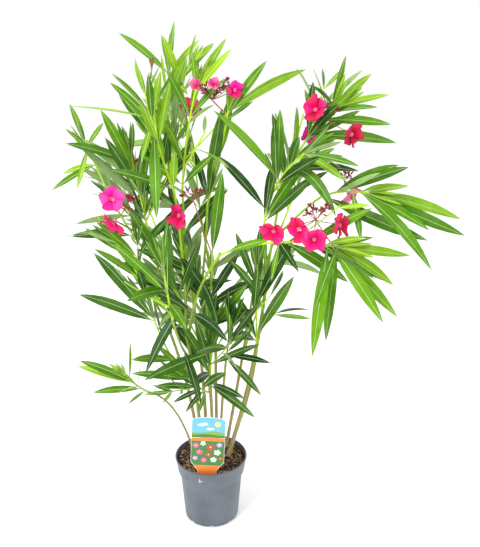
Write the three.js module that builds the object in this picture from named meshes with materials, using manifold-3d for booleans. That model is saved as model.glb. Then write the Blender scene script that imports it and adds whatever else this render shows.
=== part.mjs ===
// Potted oleander, in millimetres, with +Z up. It faces -Y, and the origin is the centre of the
// pot's flat underside. Canes rise from the soil, boughs fork off them, and each leafy shoot at
// the end of a limb is one mass: a stem, side twigs, whorls of three leaves and its blossom.
import * as THREE from "three";
import { mergeVertices } from "three/addons/utils/BufferGeometryUtils.js";
import Module from "manifold-3d";

const wasm = await Module();
wasm.setup();

// Pot: a thin-walled nursery pot with a deeper, wider band under its rim.
const POT_HEIGHT = 162;
const POT_RIM_RADIUS = 85;
const POT_RIM_HEIGHT = 4;
const POT_LIP = 3.2;
const POT_BAND_RADIUS = 79;
const POT_BAND_HEIGHT = 38;
const POT_BAND_STEP = 6;
const POT_BODY_RADIUS = 73;
const POT_BASE_RADIUS = 64;
const POT_EDGE_RADIUS = 5;
const POT_WALL = 1.6;
const POT_FLOOR = 3.6;
const POT_SIDES = 28;

// Soil: it fills the pot to a finger's width under the rim, clear of the wall.
const SOIL_TOP = 151;
const SOIL_CLEAR = 0.5;

// Plant label: a plastic plate with a stake that stands in the soil at the front of the pot.
const LABEL_WIDTH = 76;
const LABEL_HEIGHT = 161;
const LABEL_THICKNESS = 1;
const LABEL_CORNER = 14;
const LABEL_ARCH = 4;
const LABEL_NECK = 38;
const STAKE_SHOULDER = 14;
const STAKE_WIDTH = 44;
const STAKE_TAPER_FROM = 12;
const STAKE_POINT_WIDTH = 14;
const STAKE_DEPTH = 30;
const LABEL_AT = { x: -8, y: -69 };
const LABEL_LEAN = -4;
const LABEL_TILT = 3;

// Points closer than this are one point.
const WELD = 1e-3;
// Detail smaller than this is left out when a mass is joined.
const SIMPLEST = 0.08;

// Clear gap between solids that meet, and the least one between masses.
const GAP = 0.3;
const TOUCHING = 0.45;

// Limbs and stems. A cane starts under the soil's top and is cut off flat there.
const CANE_SIDES = 6;
const STEM_SIDES = 6;
const LIMB_STEP = 150;
const STEM_STEP = 150;
const BOW_STEP = 30;
const STEM_TAPER = 0.75;
const CANE_SUNK = 6;

// Twigs: they branch off the stem of a mass, with whorls on their outer half.
const TWIG_SIDES = 3;
const TWIG_ANGLE = 38;
const TWIG_RADIUS = 2;
const TWIG_TAPER = 0.8;
const TWIG_RISE = 0.08;
const TWIG_FIRST = 0.12;
const TWIG_REACH = 0.5;
const TWIG_SHORTEST = 0.6;
const TWIG_LONGER = 0.3;
const TWIG_BARE = 0.5;
const TWIG_LEAF = 0.9;

// Whorls of three leaves, each turned half a step from the one below. The scatters are spans.
const LEAVES_IN_WHORL = 3;
const WHORL_STEP = 74;
const WHORL_TURN = 60;
const LAST_WHORL = 0.95;
const LOW_LEAF_ANGLE = 42;
const TOP_LEAF_ANGLE = 24;
const BEARING_SCATTER = 24;
const ANGLE_SCATTER = 16;
const SIZE_SCATTER = 0.24;
const LOW_LEAF_SIZE = 0.86;
const MIDDLE_LEAF_GAIN = 0.2;
const TOP_LEAF_LOSS = 0.36;
const LEAF_DROOP = 0.14;
const DROOP_SCATTER = 1.2;
const TOP_DROOP_LOSS = 0.6;

// Leaves: long, narrow and keeled, with their roots sunk in the stem.
const LEAF_WIDTH_SHARE = 0.18;
const LEAF_MOST_WIDTH = 31;
const LEAF_ROOT_WIDTH = 1.7;
const LEAF_ROOT_THICKNESS = 1.4;
const LEAF_SUNK = 0.6;
const LEAF_THICKNESS_SHARE = 0.014;
const LEAF_LEAST_THICKNESS = 1.8;
const LEAF_STEPS = 2;
const LEAF_WIDEST = 0.42;
const LEAF_LOWEST = 185;
const BLADE_FREE_FROM = 0.12;
const EDGE_ARCH = 0.06;
// Blades turn their upper face up and away from the crown's middle, which is behind the pot's.
const CROWN_MIDDLE_Y = 60;
const SIDEWAYS_SHARE = 0.4;
const FACE_UP = 0.55;
const FACE_SPREAD = 130;
const EDGE_FACE_SPREAD = 90;
// A leaf that would touch another mass or a limb is tried again, turned by these degrees.
const LEAF_TRIES = [0, 16, -16, 32];
// An edge leaf is tried again with its tip moved towards the front or the back.
const EDGE_TRIES = [0, -16, 16, -32, 32];

// Blossom.
const FLOWER_RADIUS = 25;
const FLOWER_NOTCH = 17;
const FLOWER_DEPTH = 16;
const FLOWER_THROAT = 0.3;
const FLOWER_FORWARD = 0.9;
const PETALS = 5;
const BUD_LENGTH = 15;
const BUD_RADIUS = 2.6;
const BUD_TURN = 0.382;
const BUD_TURN_SCATTER = 0.1;
const BUD_LEAST_LIFT = 0.25;
const BUD_LIFT_SCATTER = 0.6;
const STALK_RADIUS = 1.3;
const STALK_AT = 0.96;
const STALK_SAG = 4;
// One solid bud stands for this many.
const BUDS_PER_SOLID = 3;

// The runs of draws of a mass: its whorls, its blossom, its edge leaves and each of its twigs.
const BLOOM_RUN = 100;
const EDGE_RUN = 200;
const TWIG_RUN = 300;

const UP = new THREE.Vector3(0, 0, 1);
const DOWN = new THREE.Vector3(0, 0, -1);
const EDGE_FACING = new THREE.Vector3(0, -0.85, 0.53);
// A direction that is never far from square to a limb that rises.
const SIDEWAYS = new THREE.Vector3(0.96, 0.28, 0);

const FINISH = {
  pot: { color: 0x7d8289, roughness: 0.42, metalness: 0 },
  soil: { color: 0x3b281c, roughness: 0.95, metalness: 0 },
  label: { color: 0xe98a4a, roughness: 0.35, metalness: 0 },
  cane: { color: 0x9a8a4e, roughness: 0.7, metalness: 0 },
  bough: { color: 0x86a52c, roughness: 0.6, metalness: 0 },
  old: { color: 0x2f6a2b, roughness: 0.5, metalness: 0 },
  mid: { color: 0x4f9020, roughness: 0.5, metalness: 0 },
  young: { color: 0x8fbe1c, roughness: 0.5, metalness: 0 },
};

// Limbs. A cane's foot is its place on the soil. A bough springs from the limb that "on" names,
// at that share of its length. "bow" moves the middle of the curve off the straight line.
const LIMBS = [
  { name: "cane_left", foot: [-32, 36], tip: [-95, -15, 515], bow: [22, 15, 0], radii: [4.2, 3] },
  { name: "cane_front", foot: [-20, 12], tip: [-47, -62, 510], bow: [5, 25, 0], radii: [4.2, 3.2] },
  { name: "cane_back_left", foot: [-12, 52], tip: [-55, 25, 680], bow: [18, 25, 0], radii: [4.4, 2.8] },
  { name: "cane_middle", foot: [4, 32], tip: [-14, 0, 610], bow: [6, 18, 0], radii: [4.2, 2.8] },
  { name: "cane_low_front", foot: [4, -2], tip: [0, -46, 372], bow: [6, 18, 0], radii: [3.4, 2.8] },
  { name: "cane_short", foot: [20, 14], tip: [38, -34, 430], bow: [-4, 18, 0], radii: [3.6, 2.6] },
  { name: "cane_right", foot: [38, 10], tip: [130, -4, 640], bow: [24, 18, -24], radii: [5.6, 3.4] },
  { name: "cane_back", foot: [12, 62], tip: [10, 142, 490], bow: [0, -32, 0], radii: [4.2, 3] },
  { name: "cane_back_right", foot: [34, 48], tip: [100, 132, 520], bow: [0, -26, 0], radii: [4, 3] },
  { name: "cane_low_left", foot: [-40, 18], tip: [-138, -52, 360], bow: [16, 4, 72], radii: [2.6, 1.9] },
  {
    name: "cane_thin_right", on: "cane_right", at: 0.16, tip: [112, 18, 470],
    bow: [16, 10, -24], radii: [2.8, 2],
  },
  {
    name: "bough_left", on: "cane_left", at: 0.99, tip: [-138, -50, 625],
    bow: [4, 4, -6], radii: [2.6, 2.2],
  },
  {
    name: "bough_left_up", on: "cane_left", at: 0.9, tip: [-122, -2, 680],
    bow: [14, 14, 0], radii: [2.8, 2.3],
  },
  {
    name: "bough_far_left", on: "bough_left_up", at: 0.8, tip: [-214, 0, 822],
    bow: [-14, 0, -8], radii: [2.4, 1.9],
  },
  {
    name: "bough_main", on: "cane_front", at: 0.99, tip: [-62, -80, 830],
    bow: [12, -6, 0], radii: [3.2, 2.6],
  },
  {
    name: "bough_arch", on: "cane_front", at: 0.9, tip: [32, -124, 712],
    bow: [-28, -18, 32], radii: [3, 2.6],
  },
  {
    name: "bough_top", on: "cane_back_left", at: 0.99, tip: [-86, 14, 880],
    bow: [4, 8, 0], radii: [2.8, 2.3],
  },
  {
    name: "bough_top_middle", on: "cane_back_left", at: 0.9, tip: [-50, -18, 820],
    bow: [-4, 20, 0], radii: [2.6, 2.3],
  },
  { name: "bough_blossom", on: "cane_middle", at: 0.99, tip: [0, 6, 780], bow: [4, 6, 0], radii: [2.8, 2.3] },
  {
    name: "bough_right_up", on: "cane_right", at: 0.99, tip: [160, 22, 820],
    bow: [-2, 10, 0], radii: [3, 2.4],
  },
  {
    name: "bough_right", on: "cane_right", at: 0.92, tip: [118, -40, 745],
    bow: [-2, -12, 0], radii: [2.8, 2.3],
  },
  {
    name: "bough_right_out", on: "bough_right_up", at: 0.3, tip: [238, -36, 806],
    bow: [8, 0, 22], radii: [2.6, 2.3],
  },
  {
    name: "bough_back_top", on: "cane_back", at: 0.99, tip: [-24, 158, 720],
    bow: [0, 14, 0], radii: [2.8, 2.3],
  },
  {
    name: "bough_back_left", on: "cane_back", at: 0.84, tip: [-118, 212, 620],
    bow: [-10, 10, -24], radii: [2.6, 2.2],
  },
  {
    name: "bough_back_right", on: "cane_back_right", at: 0.99, tip: [172, 190, 680],
    bow: [-6, 8, -6], radii: [2.8, 2.2],
  },
  {
    name: "bough_front", on: "cane_front", at: 0.8, tip: [-66, -168, 590],
    bow: [0, -18, -24], radii: [2.8, 2.3],
  },
];

// Masses. "leaf" is the length of a full-grown leaf, "bare" the share of the stem with no whorl,
// "spread" how far its low leaves open, "turn" the bearing of the first whorl, and "seed" starts
// its own run of draws. Each "edge" leaf makes the crown's outline: the share of the stem where
// it grows, then its tip, and for some leaves how far it arches, as a share of its length, and
// the degrees it is rolled about that line. "bloom" has the place of the flower head, its open
// flowers and buds.
const MASSES = [
  {
    name: "leaves_low_left", age: "young", on: "cane_low_left", at: 0.97, tip: [-182, -78, 418],
    bow: [-4, 0, -8], radius: 2.2, leaf: 90, bare: 0.35, turn: 40, seed: 11, twigs: 0,
    edge: [
      [0.7, -270, -112, 468], [0.6, -287, -60, 428], [0.3, -245, -120, 396], [0.8, -172, -40, 478],
      [0.15, -176, -92, 352],
    ],
  },
  {
    name: "leaves_low_front_left", age: "mid", on: "cane_low_front", at: 0.9, tip: [-40, -92, 418],
    bow: [-4, -4, -8], radius: 2.4, leaf: 125, bare: 0.3, turn: 10, seed: 12, spread: 1.5, twigs: 0,
    edge: [
      [0.5, -112, -122, 413], [0.4, -75, -124, 374], [0.3, -48, -128, 352], [0.2, -22, -126, 345],
      [0.9, -162, -112, 438], [0.95, -108, -100, 500],
    ],
  },
  {
    name: "leaves_low_front", age: "old", on: "cane_low_front", at: 0.99, tip: [4, -62, 470],
    bow: [4, 0, 0], radius: 2.5, leaf: 165, bare: 0.25, turn: 85, seed: 13, spread: 1.4, twigs: 0,
    edge: [
      [0.3, -56, -92, 548], [0.5, -24, -102, 560], [0.9, -2, -74, 592], [0.9, -128, -152, 452],
      [0.1, 80, -110, 375], [0.05, 102, -116, 332], [0.6, 112, -66, 484],
    ],
  },
  {
    name: "leaves_low_right", age: "old", on: "cane_short", at: 0.98, tip: [52, -52, 520],
    bow: [-3, 0, 0], radius: 2.4, leaf: 155, bare: 0.3, turn: 20, seed: 14, spread: 1.3, twigs: 0,
    edge: [[0.2, 135, -92, 452], [0.1, 115, -112, 384], [0.3, 92, -112, 540], [0.8, 44, -70, 612]],
  },
  {
    name: "leaves_left_low", age: "old", on: "cane_left", at: 0.62, tip: [-116, -62, 546],
    bow: [-8, 0, -18], radius: 2.4, leaf: 160, bare: 0.25, turn: 70, seed: 36, spread: 1.2, twigs: 0,
    edge: [[0.95, -262, -104, 616], [0.3, -160, -112, 470], [0.98, -230, -84, 700]],
  },
  {
    name: "leaves_left", age: "mid", on: "bough_left", at: 0.98, tip: [-186, -74, 724],
    bow: [4, 0, -4], radius: 2.2, leaf: 150, bare: 0.1, turn: 30, seed: 15, twigs: 0,
    edge: [
      [0.7, -245, -82, 752], [0.06, -232, -66, 702], [0.9, -295, -44, 718, 0.3, 50],
    ],
  },
  {
    name: "leaves_left_up", age: "old", on: "bough_left_up", at: 0.98, tip: [-156, -12, 892],
    bow: [4, 4, 0], radius: 2.3, leaf: 165, bare: 0.1, turn: 75, seed: 16,
    edge: [[0.8, -206, -20, 982], [0.6, -196, -62, 932], [0.6, -206, 34, 842], [0.9, -274, -62, 920]],
  },
  {
    name: "leaves_far_left", age: "young", on: "bough_far_left", at: 0.98, tip: [-246, -16, 912],
    bow: [2, 0, 0], radius: 2.1, leaf: 105, bare: 0.45, turn: 20, seed: 17, twigs: 0,
    edge: [
      [0.95, -268, -28, 992], [0.9, -200, -42, 958], [0.85, -258, -60, 828],
      [0.5, -314, -42, 820], [0.5, -306, 34, 836],
    ],
  },
  {
    name: "leaves_front", age: "old", on: "bough_main", at: 0.2, tip: [-142, -112, 792],
    bow: [10, -6, -34], radius: 2.2, leaf: 130, bare: 1, turn: 0, seed: 18, twigs: 0,
    edge: [
      [0.12, -150, -118, 812], [0.1, -160, -134, 722], [0.04, -130, -130, 446, 0.15],
      [0.2, -6, -142, 752], [0.16, -96, -158, 560],
    ],
    bloom: { head: [-158, -114, 800], open: [[-178, -130, 826], [-178, -132, 776]], buds: 6 },
  },
  {
    name: "leaves_top_left", age: "young", on: "bough_main", at: 0.98, tip: [-112, -76, 1022],
    bow: [-8, 0, 0], radius: 2.4, leaf: 150, bare: 0.05, turn: 60, seed: 19,
    edge: [
      [0.8, -176, -60, 1054], [0.75, -254, -100, 998, 0.04, 62], [0.62, -92, -142, 790],
      [0.7, -118, -132, 900],
    ],
    bloom: { head: [-96, -92, 1062], open: [], buds: 3 },
  },
  {
    name: "leaves_top", age: "young", on: "bough_top", at: 0.98, tip: [-70, 18, 1062],
    bow: [-6, 0, 0], radius: 2.3, leaf: 145, bare: 0.05, turn: 15, seed: 20,
    edge: [
      [0.95, -60, 18, 1146], [0.9, -172, 32, 1122], [0.9, -32, -48, 1012], [0.9, -12, 58, 1108],
      [0.7, -84, -14, 1086],
    ],
  },
  {
    name: "leaves_top_middle", age: "young", on: "bough_top_middle", at: 0.98, tip: [-16, -40, 1026],
    bow: [-10, 0, 0], radius: 2.4, leaf: 150, bare: 0.05, turn: 45, seed: 21,
    edge: [[0.95, 54, -66, 1100], [0.95, 42, 2, 1114], [0.9, 24, 22, 1094]],
  },
  {
    name: "leaves_blossom", age: "mid", on: "bough_blossom", at: 0.98, tip: [46, -44, 982],
    bow: [6, 0, 0], radius: 2.3, leaf: 150, bare: 0.05, turn: 80, seed: 22,
    edge: [
      [0.96, 120, -62, 1078], [0.98, 196, -62, 1060, 0.12, 50], [0.9, 95, -20, 996], [0.06, 34, -68, 990],
    ],
    bloom: {
      head: [14, -40, 1002],
      open: [[-12, -62, 1028], [22, -76, 1032], [60, -64, 1024]],
      buds: 14,
    },
  },
  {
    name: "leaves_right", age: "old", on: "bough_right", at: 0.98, tip: [204, -62, 906],
    bow: [-34, 0, 22], radius: 2.3, leaf: 165, bare: 0.05, turn: 50, seed: 23,
    edge: [
      [0.53, 147, -52, 986], [0.55, 18, -62, 987], [0.18, 24, -62, 896], [0.95, 272, -138, 862],
      [0.95, 300, -104, 884], [0.05, 190, -92, 660], [0.06, 212, -104, 862],
      [0.15, 138, -72, 858], [0.1, 205, -70, 897], [0.7, 252, -130, 800, 0.4],
    ],
  },
  {
    name: "leaves_right_top", age: "mid", on: "bough_right_up", at: 0.98, tip: [262, 8, 984],
    bow: [-18, 0, 10], radius: 2.4, leaf: 150, bare: 0.2, turn: 25, seed: 24, twigs: 0,
    edge: [
      [0.12, 270, -70, 872, 0.4], [0.2, 264, -40, 858, 0.35], [0.3, 182, -20, 986],
      [0.98, 199, -40, 1030, 0.25], [0.95, 204, -60, 1004],
      [0.5, 298, -14, 1026], [0.95, 280, 20, 1080], [0.7, 196, -22, 1020], [0.9, 218, 52, 1052, 0.06, 65],
      [0.95, 370, 10, 1004], [0.9, 336, -62, 990], [0.95, 342, 72, 1038, 0.06, 65], [0.8, 372, -22, 950],
      [0.6, 396, 32, 902],
    ],
    bloom: { head: [236, -22, 964], open: [[216, -44, 984], [292, -46, 934]], buds: 5 },
  },
  {
    name: "leaves_right_out", age: "mid", on: "bough_right_out", at: 0.98, tip: [324, -80, 824],
    bow: [-6, 0, 14], radius: 2.4, leaf: 160, bare: 0.3, turn: 70, seed: 25, twigs: 0,
    edge: [
      [0.9, 514, -120, 748, 0], [0.9, 436, -150, 768], [0.95, 520, -62, 764], [0.85, 434, -200, 704, 0.14],
      [0.06, 438, -120, 743, -0.03], [0.7, 306, -138, 742], [0.85, 430, 20, 812], [0.3, 402, 22, 858],
    ],
    bloom: { head: [282, -28, 836], open: [[292, -44, 806]], buds: 4 },
  },
  {
    name: "leaves_right_front", age: "young", on: "bough_arch", at: 0.98, tip: [262, -152, 735],
    bow: [-24, -10, 40], radius: 2.6, leaf: 165, bare: 0.75, turn: 35, seed: 26, twigs: 0,
    edge: [
      [0.08, 122, -176, 762], [0.95, 404, -142, 714, 0], [0.98, 382, -108, 638], [0.95, 342, -232, 610],
      [0.9, 376, -196, 606], [0.92, 211, -212, 528], [0.98, 242, -164, 538], [0.9, 306, -202, 770],
      [0.85, 385, -84, 632], [0.99, 210, -236, 638, 0.1], [0.6, 292, -92, 638], [0.55, 131, -150, 664],
    ],
    bloom: {
      head: [214, -156, 792],
      open: [[131, -182, 776], [178, -194, 784], [208, -200, 766], [264, -152, 778]],
      buds: 9,
    },
  },
  {
    name: "leaves_right_low", age: "mid", on: "cane_thin_right", at: 0.98, tip: [146, -6, 532],
    bow: [-4, 0, 8], radius: 2, leaf: 100, bare: 0.4, turn: 0, seed: 27, twigs: 0,
    edge: [[0.95, 222, -38, 552, 0.2, 60], [0.9, 230, 36, 498, 0.06, 55]],
  },
  {
    name: "leaves_middle", age: "old", on: "cane_middle", at: 0.8, tip: [10, -46, 690],
    bow: [10, 0, -14], radius: 2.3, leaf: 165, bare: 0.2, turn: 100, seed: 28,
    edge: [[0.97, 34, -64, 862], [0.3, 66, -86, 700], [0.35, -50, -112, 700]],
    bloom: { head: [-24, -72, 806], open: [[-54, -98, 782]], buds: 5 },
  },
  {
    name: "leaves_middle_low", age: "old", on: "cane_middle", at: 0.5, tip: [12, -30, 520],
    bow: [4, 0, -14], radius: 2.3, leaf: 165, bare: 0.3, turn: 40, seed: 37, twigs: 0,
    edge: [[0.9, 84, -72, 624], [0.7, -10, -84, 640]],
  },
  {
    name: "leaves_right_inner", age: "old", on: "cane_right", at: 0.62, tip: [104, -48, 660],
    bow: [0, -10, -12], radius: 2.3, leaf: 165, bare: 0.1, turn: 0, seed: 29,
    edge: [[0.2, 182, -62, 640], [0.8, 60, -72, 740], [0.6, 180, -72, 730]],
  },
  {
    name: "leaves_front_middle", age: "mid", on: "bough_front", at: 0.98, tip: [-76, -212, 718],
    bow: [0, -10, 0], radius: 2.3, leaf: 150, bare: 0.1, turn: 25, seed: 38,
    edge: [[0.85, -64, -352, 776], [0.6, -128, -338, 700], [0.35, -26, -326, 640]],
  },
  {
    name: "leaves_back_top", age: "mid", on: "bough_back_top", at: 0.98, tip: [-46, 176, 904],
    bow: [4, 6, 0], radius: 2.3, leaf: 165, bare: 0.05, turn: 55, seed: 30, edge: [],
    bloom: { head: [-52, 190, 932], open: [[-44, 216, 944]], buds: 5 },
  },
  {
    name: "leaves_top_back", age: "young", on: "bough_top", at: 0.72, tip: [-66, 104, 1010],
    bow: [0, 14, -10], radius: 2.3, leaf: 150, bare: 0.1, turn: 35, seed: 39, twigs: 0, edge: [],
  },
  {
    name: "leaves_right_back", age: "mid", on: "bough_right_up", at: 0.7, tip: [206, 118, 946],
    bow: [0, 14, -10], radius: 2.3, leaf: 155, bare: 0.1, turn: 65, seed: 40, edge: [],
  },
  {
    name: "leaves_back_left", age: "mid", on: "bough_back_left", at: 0.98, tip: [-180, 250, 770],
    bow: [0, 8, -6], radius: 2.3, leaf: 165, bare: 0.05, turn: 15, seed: 31, edge: [],
    bloom: { head: [-190, 258, 796], open: [[-208, 278, 804]], buds: 4 },
  },
  {
    name: "leaves_back_right", age: "mid", on: "bough_back_right", at: 0.98, tip: [232, 240, 830],
    bow: [0, 8, -6], radius: 2.3, leaf: 165, bare: 0.05, turn: 85, seed: 32, edge: [],
    bloom: { head: [242, 252, 858], open: [[238, 276, 872]], buds: 4 },
  },
  {
    name: "leaves_back_low", age: "old", on: "cane_back", at: 0.6, tip: [0, 224, 530],
    bow: [0, 14, -24], radius: 2.4, leaf: 165, bare: 0.2, turn: 40, seed: 33, spread: 1.2, edge: [],
  },
  {
    name: "leaves_back_low_left", age: "old", on: "cane_back_left", at: 0.55, tip: [-118, 142, 600],
    bow: [0, 12, -20], radius: 2.4, leaf: 160, bare: 0.2, turn: 10, seed: 34, spread: 1.1, edge: [],
  },
  {
    name: "leaves_back_low_right", age: "old", on: "cane_back_right", at: 0.62, tip: [132, 172, 545],
    bow: [0, 12, -20], radius: 2.3, leaf: 150, bare: 0.25, turn: 70, seed: 35, spread: 1.1, edge: [],
  },
];

// One Lehmer run of draws between 0 and 1.
function draws(seed) {
  let state = seed * 7919;
  return () => {
    state = (state * 48271) % 2147483647;
    return state / 2147483647;
  };
}

function vector([x, y, z]) {
  return new THREE.Vector3(x, y, z);
}

function solidOf(geometry) {
  geometry.deleteAttribute("normal");
  geometry.deleteAttribute("uv");
  const merged = mergeVertices(geometry, WELD);
  const mesh = new wasm.Mesh({
    numProp: 3,
    vertProperties: new Float32Array(merged.attributes.position.array),
    triVerts: new Uint32Array(merged.index.array),
  });
  return new wasm.Manifold(mesh);
}

function geometryOf(solid) {
  const mesh = solid.getMesh();
  const geometry = new THREE.BufferGeometry();
  geometry.setAttribute("position", new THREE.BufferAttribute(mesh.vertProperties, mesh.numProp));
  geometry.setIndex(new THREE.BufferAttribute(mesh.triVerts, 1));
  geometry.computeVertexNormals();
  return geometry;
}

// The biggest body of a solid, with its hollows filled and its loose scraps dropped.
function biggestBody(solid) {
  const bodies = solid.decompose();
  bodies.sort((a, b) => b.volume() - a.volume());
  return bodies[0];
}

// Joins the pieces of a mass in one body of few triangles.
function fused(pieces) {
  const whole = pieces.reduce((sum, piece) => sum.add(piece));
  const simple = biggestBody(whole).simplify(SIMPLEST);
  return biggestBody(solidOf(geometryOf(simple)));
}

// Moves the points of a cylinder or cone whose axis is Y: place(share, x, z) gives each new point.
function bend(geometry, place) {
  const position = geometry.attributes.position;
  for (let i = 0; i < position.count; i++) {
    const point = place(position.getY(i) + 0.5, position.getX(i), position.getZ(i));
    position.setXYZ(i, point.x, point.y, point.z);
  }
  return geometry;
}

function curveBetween(foot, tip, bow) {
  const control = foot.clone().add(tip).multiplyScalar(0.5).add(bow);
  return new THREE.QuadraticBezierCurve3(foot, control, tip);
}

// Two directions square to the tangent, which turn little along a limb.
function crossFrame(tangent) {
  const other = SIDEWAYS.clone().cross(tangent).normalize();
  const side = tangent.clone().cross(other);
  return { side, other };
}

// A limb, stem or twig, made wider and longer all round by "grown".
function taperingTube({ curve, radii, sides }, steps, grown = 0) {
  const geometry = new THREE.CylinderGeometry(1, 1, 1, sides, steps);
  return solidOf(
    bend(geometry, (height, x, z) => {
      const share = Math.round(height * steps) / steps;
      const tangent = curve.getTangent(share);
      const { side, other } = crossFrame(tangent);
      const radius = THREE.MathUtils.lerp(radii[0], radii[1], share) + grown;
      const pastEnd = share === 0 ? -grown : share === 1 ? grown : 0;
      return curve
        .getPoint(share)
        .addScaledVector(tangent, pastEnd)
        .addScaledVector(side, x * radius)
        .addScaledVector(other, z * radius);
    }),
  );
}

// The point just under the middle of the flat of a stem that faces this direction.
function rootOn({ curve, radii, sides }, share, direction) {
  const { side, other } = crossFrame(curve.getTangent(share));
  const flat = (2 * Math.PI) / sides;
  const bearing = Math.atan2(direction.dot(side), direction.dot(other));
  const middle = (Math.floor(bearing / flat) + 0.5) * flat;
  const radius = THREE.MathUtils.lerp(radii[0], radii[1], share);
  const reach = radius * Math.cos(flat / 2) - LEAF_SUNK;
  return curve
    .getPoint(share)
    .addScaledVector(side, Math.sin(middle) * reach)
    .addScaledVector(other, Math.cos(middle) * reach);
}

// A keeled blade along a curve, widest under its middle, with its upper face towards "facing".
// It is a three-sided cone, so its points lie sin 60 to a side and 1 + cos 60 from keel to face.
function leafSolid(curve, facing, length) {
  const width = Math.min(LEAF_MOST_WIDTH, length * LEAF_WIDTH_SHARE);
  const thickness = Math.max(LEAF_LEAST_THICKNESS, length * LEAF_THICKNESS_SHARE);
  const side = facing.clone().cross(curve.getTangent(0)).normalize();
  const geometry = new THREE.ConeGeometry(1, 1, TWIG_SIDES, LEAF_STEPS);
  const halfSpan = Math.sin(Math.PI / 3);
  const fullDepth = 1 + Math.cos(Math.PI / 3);
  return solidOf(
    bend(geometry, (height, x, z) => {
      const row = Math.round(height * LEAF_STEPS);
      const inside = row > 0 && row < LEAF_STEPS;
      const share = inside ? LEAF_WIDEST : row / LEAF_STEPS;
      const below = side.clone().cross(curve.getTangent(share)).normalize();
      const halfWidth = (inside ? width : LEAF_ROOT_WIDTH) / 2;
      const deep = inside ? thickness : LEAF_ROOT_THICKNESS;
      return curve
        .getPoint(share)
        .addScaledVector(side, (x / halfSpan) * halfWidth)
        .addScaledVector(below, (z / fullDepth) * deep);
    }),
  );
}

// An open flower: a cone from its calyx to a rim of five petals, facing outwards.
function flowerSolid(middle, facing) {
  const geometry = new THREE.ConeGeometry(1, 1, 2 * PETALS, 1);
  const turned = new THREE.Quaternion().setFromUnitVectors(DOWN, facing);
  return solidOf(
    bend(geometry, (height, x, z) => {
      const onRim = Math.hypot(x, z) > 0.5;
      const angle = Math.atan2(x, z);
      const inNotch = Math.round((angle * PETALS) / Math.PI) % 2 !== 0;
      const rim = inNotch ? FLOWER_NOTCH : FLOWER_RADIUS;
      const reach = onRim ? rim : 0;
      const point = new THREE.Vector3(
        Math.sin(angle) * reach,
        -Math.cos(angle) * reach,
        (height - FLOWER_THROAT) * FLOWER_DEPTH,
      );
      return point.applyQuaternion(turned).add(middle);
    }),
  );
}

// A bud on its stalk: thin at its foot, widest at its middle and pointed.
function budSolid(foot, direction, length) {
  const tip = foot.clone().addScaledVector(direction, length);
  const curve = curveBetween(foot, tip, new THREE.Vector3());
  const geometry = new THREE.ConeGeometry(1, 1, TWIG_SIDES, 2);
  const radii = [STALK_RADIUS, BUD_RADIUS, 0];
  const { side, other } = crossFrame(direction);
  return solidOf(
    bend(geometry, (height, x, z) => {
      const radius = radii[Math.round(2 * height)];
      return curve.getPoint(height).addScaledVector(side, x * radius).addScaledVector(other, z * radius);
    }),
  );
}

// Everything placed so far, with its owner's name and its box, to keep the solids apart.
const placed = [];
// The blades of each mass without their roots, so that no blade passes through its neighbour.
const blades = new Map();
// The limbs' and stems' curves, each with its tube grown by the gap.
const limbs = new Map();
const group = new THREE.Group();
group.name = "potted_oleander";

function place(solid, owner) {
  placed.push({ solid, owner, box: solid.boundingBox() });
}

function boxesMeet(a, b, margin) {
  return [0, 1, 2].every((i) => a.min[i] - margin < b.max[i] && b.min[i] - margin < a.max[i]);
}

function fits(solid, owner) {
  const box = solid.boundingBox();
  if (box.min[2] < LEAF_LOWEST) return false;
  return !placed.some(
    (other) =>
      other.owner !== owner &&
      boxesMeet(box, other.box, TOUCHING) &&
      solid.minGap(other.solid, TOUCHING) < TOUCHING,
  );
}

function keep(mass, solid) {
  mass.pieces.push(solid);
  place(solid, mass.row.name);
}

function bladeOf(solid, curve) {
  const start = curve.getPoint(BLADE_FREE_FROM);
  const normal = curve.getTangent(BLADE_FREE_FROM);
  return solid.trimByPlane([normal.x, normal.y, normal.z], normal.dot(start));
}

function crossesBlade(blade, owner) {
  const box = blade.boundingBox();
  return (blades.get(owner) ?? []).some(
    (other) => boxesMeet(box, other.box, 0) && !blade.intersect(other.blade).isEmpty(),
  );
}

// Adds a leaf to its mass where there is room for it, and tells whether there is.
function keepLeaf(mass, solid, curve) {
  const owner = mass.row.name;
  const blade = bladeOf(solid, curve);
  if (!fits(solid, owner) || crossesBlade(blade, owner)) return false;
  if (!blades.has(owner)) blades.set(owner, []);
  blades.get(owner).push({ blade, box: blade.boundingBox() });
  keep(mass, solid);
  return true;
}

// Cuts a limb back where it meets the limbs that were made before it.
function cutClear(solid, others) {
  let cut = solid;
  for (const other of others) {
    if (boxesMeet(solid.boundingBox(), other.grown.boundingBox(), 0)) cut = cut.subtract(other.grown);
  }
  return biggestBody(cut);
}

function growLimb(row, radii, sides, step) {
  const foot = row.on
    ? limbs.get(row.on).curve.getPoint(row.at)
    : new THREE.Vector3(row.foot[0], row.foot[1], SOIL_TOP - CANE_SUNK);
  const bow = vector(row.bow);
  const curve = curveBetween(foot, vector(row.tip), bow);
  const steps = Math.max(2, Math.round(curve.getLength() / step + bow.length() / BOW_STEP));
  const stem = { curve, radii, sides };
  const tube = taperingTube(stem, steps);
  const aboveSoil = row.on ? tube : tube.trimByPlane([0, 0, 1], SOIL_TOP + GAP);
  const solid = cutClear(aboveSoil, [...limbs.values()]);
  limbs.set(row.name, { curve, grown: taperingTube(stem, steps, GAP) });
  place(solid, row.name);
  return { stem, solid };
}

// A direction from a curve: its bearing round the curve and its angle to it, in degrees.
function directionFrom(curve, share, bearing, angle) {
  const axis = curve.getTangent(share);
  const across = UP.clone().cross(axis).normalize();
  const outwards = across.applyAxisAngle(axis, THREE.MathUtils.degToRad(bearing));
  const lean = THREE.MathUtils.degToRad(angle);
  return axis.multiplyScalar(Math.cos(lean)).addScaledVector(outwards, Math.sin(lean));
}

function scatter(random, span) {
  return span * (random() - 0.5);
}

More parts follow.
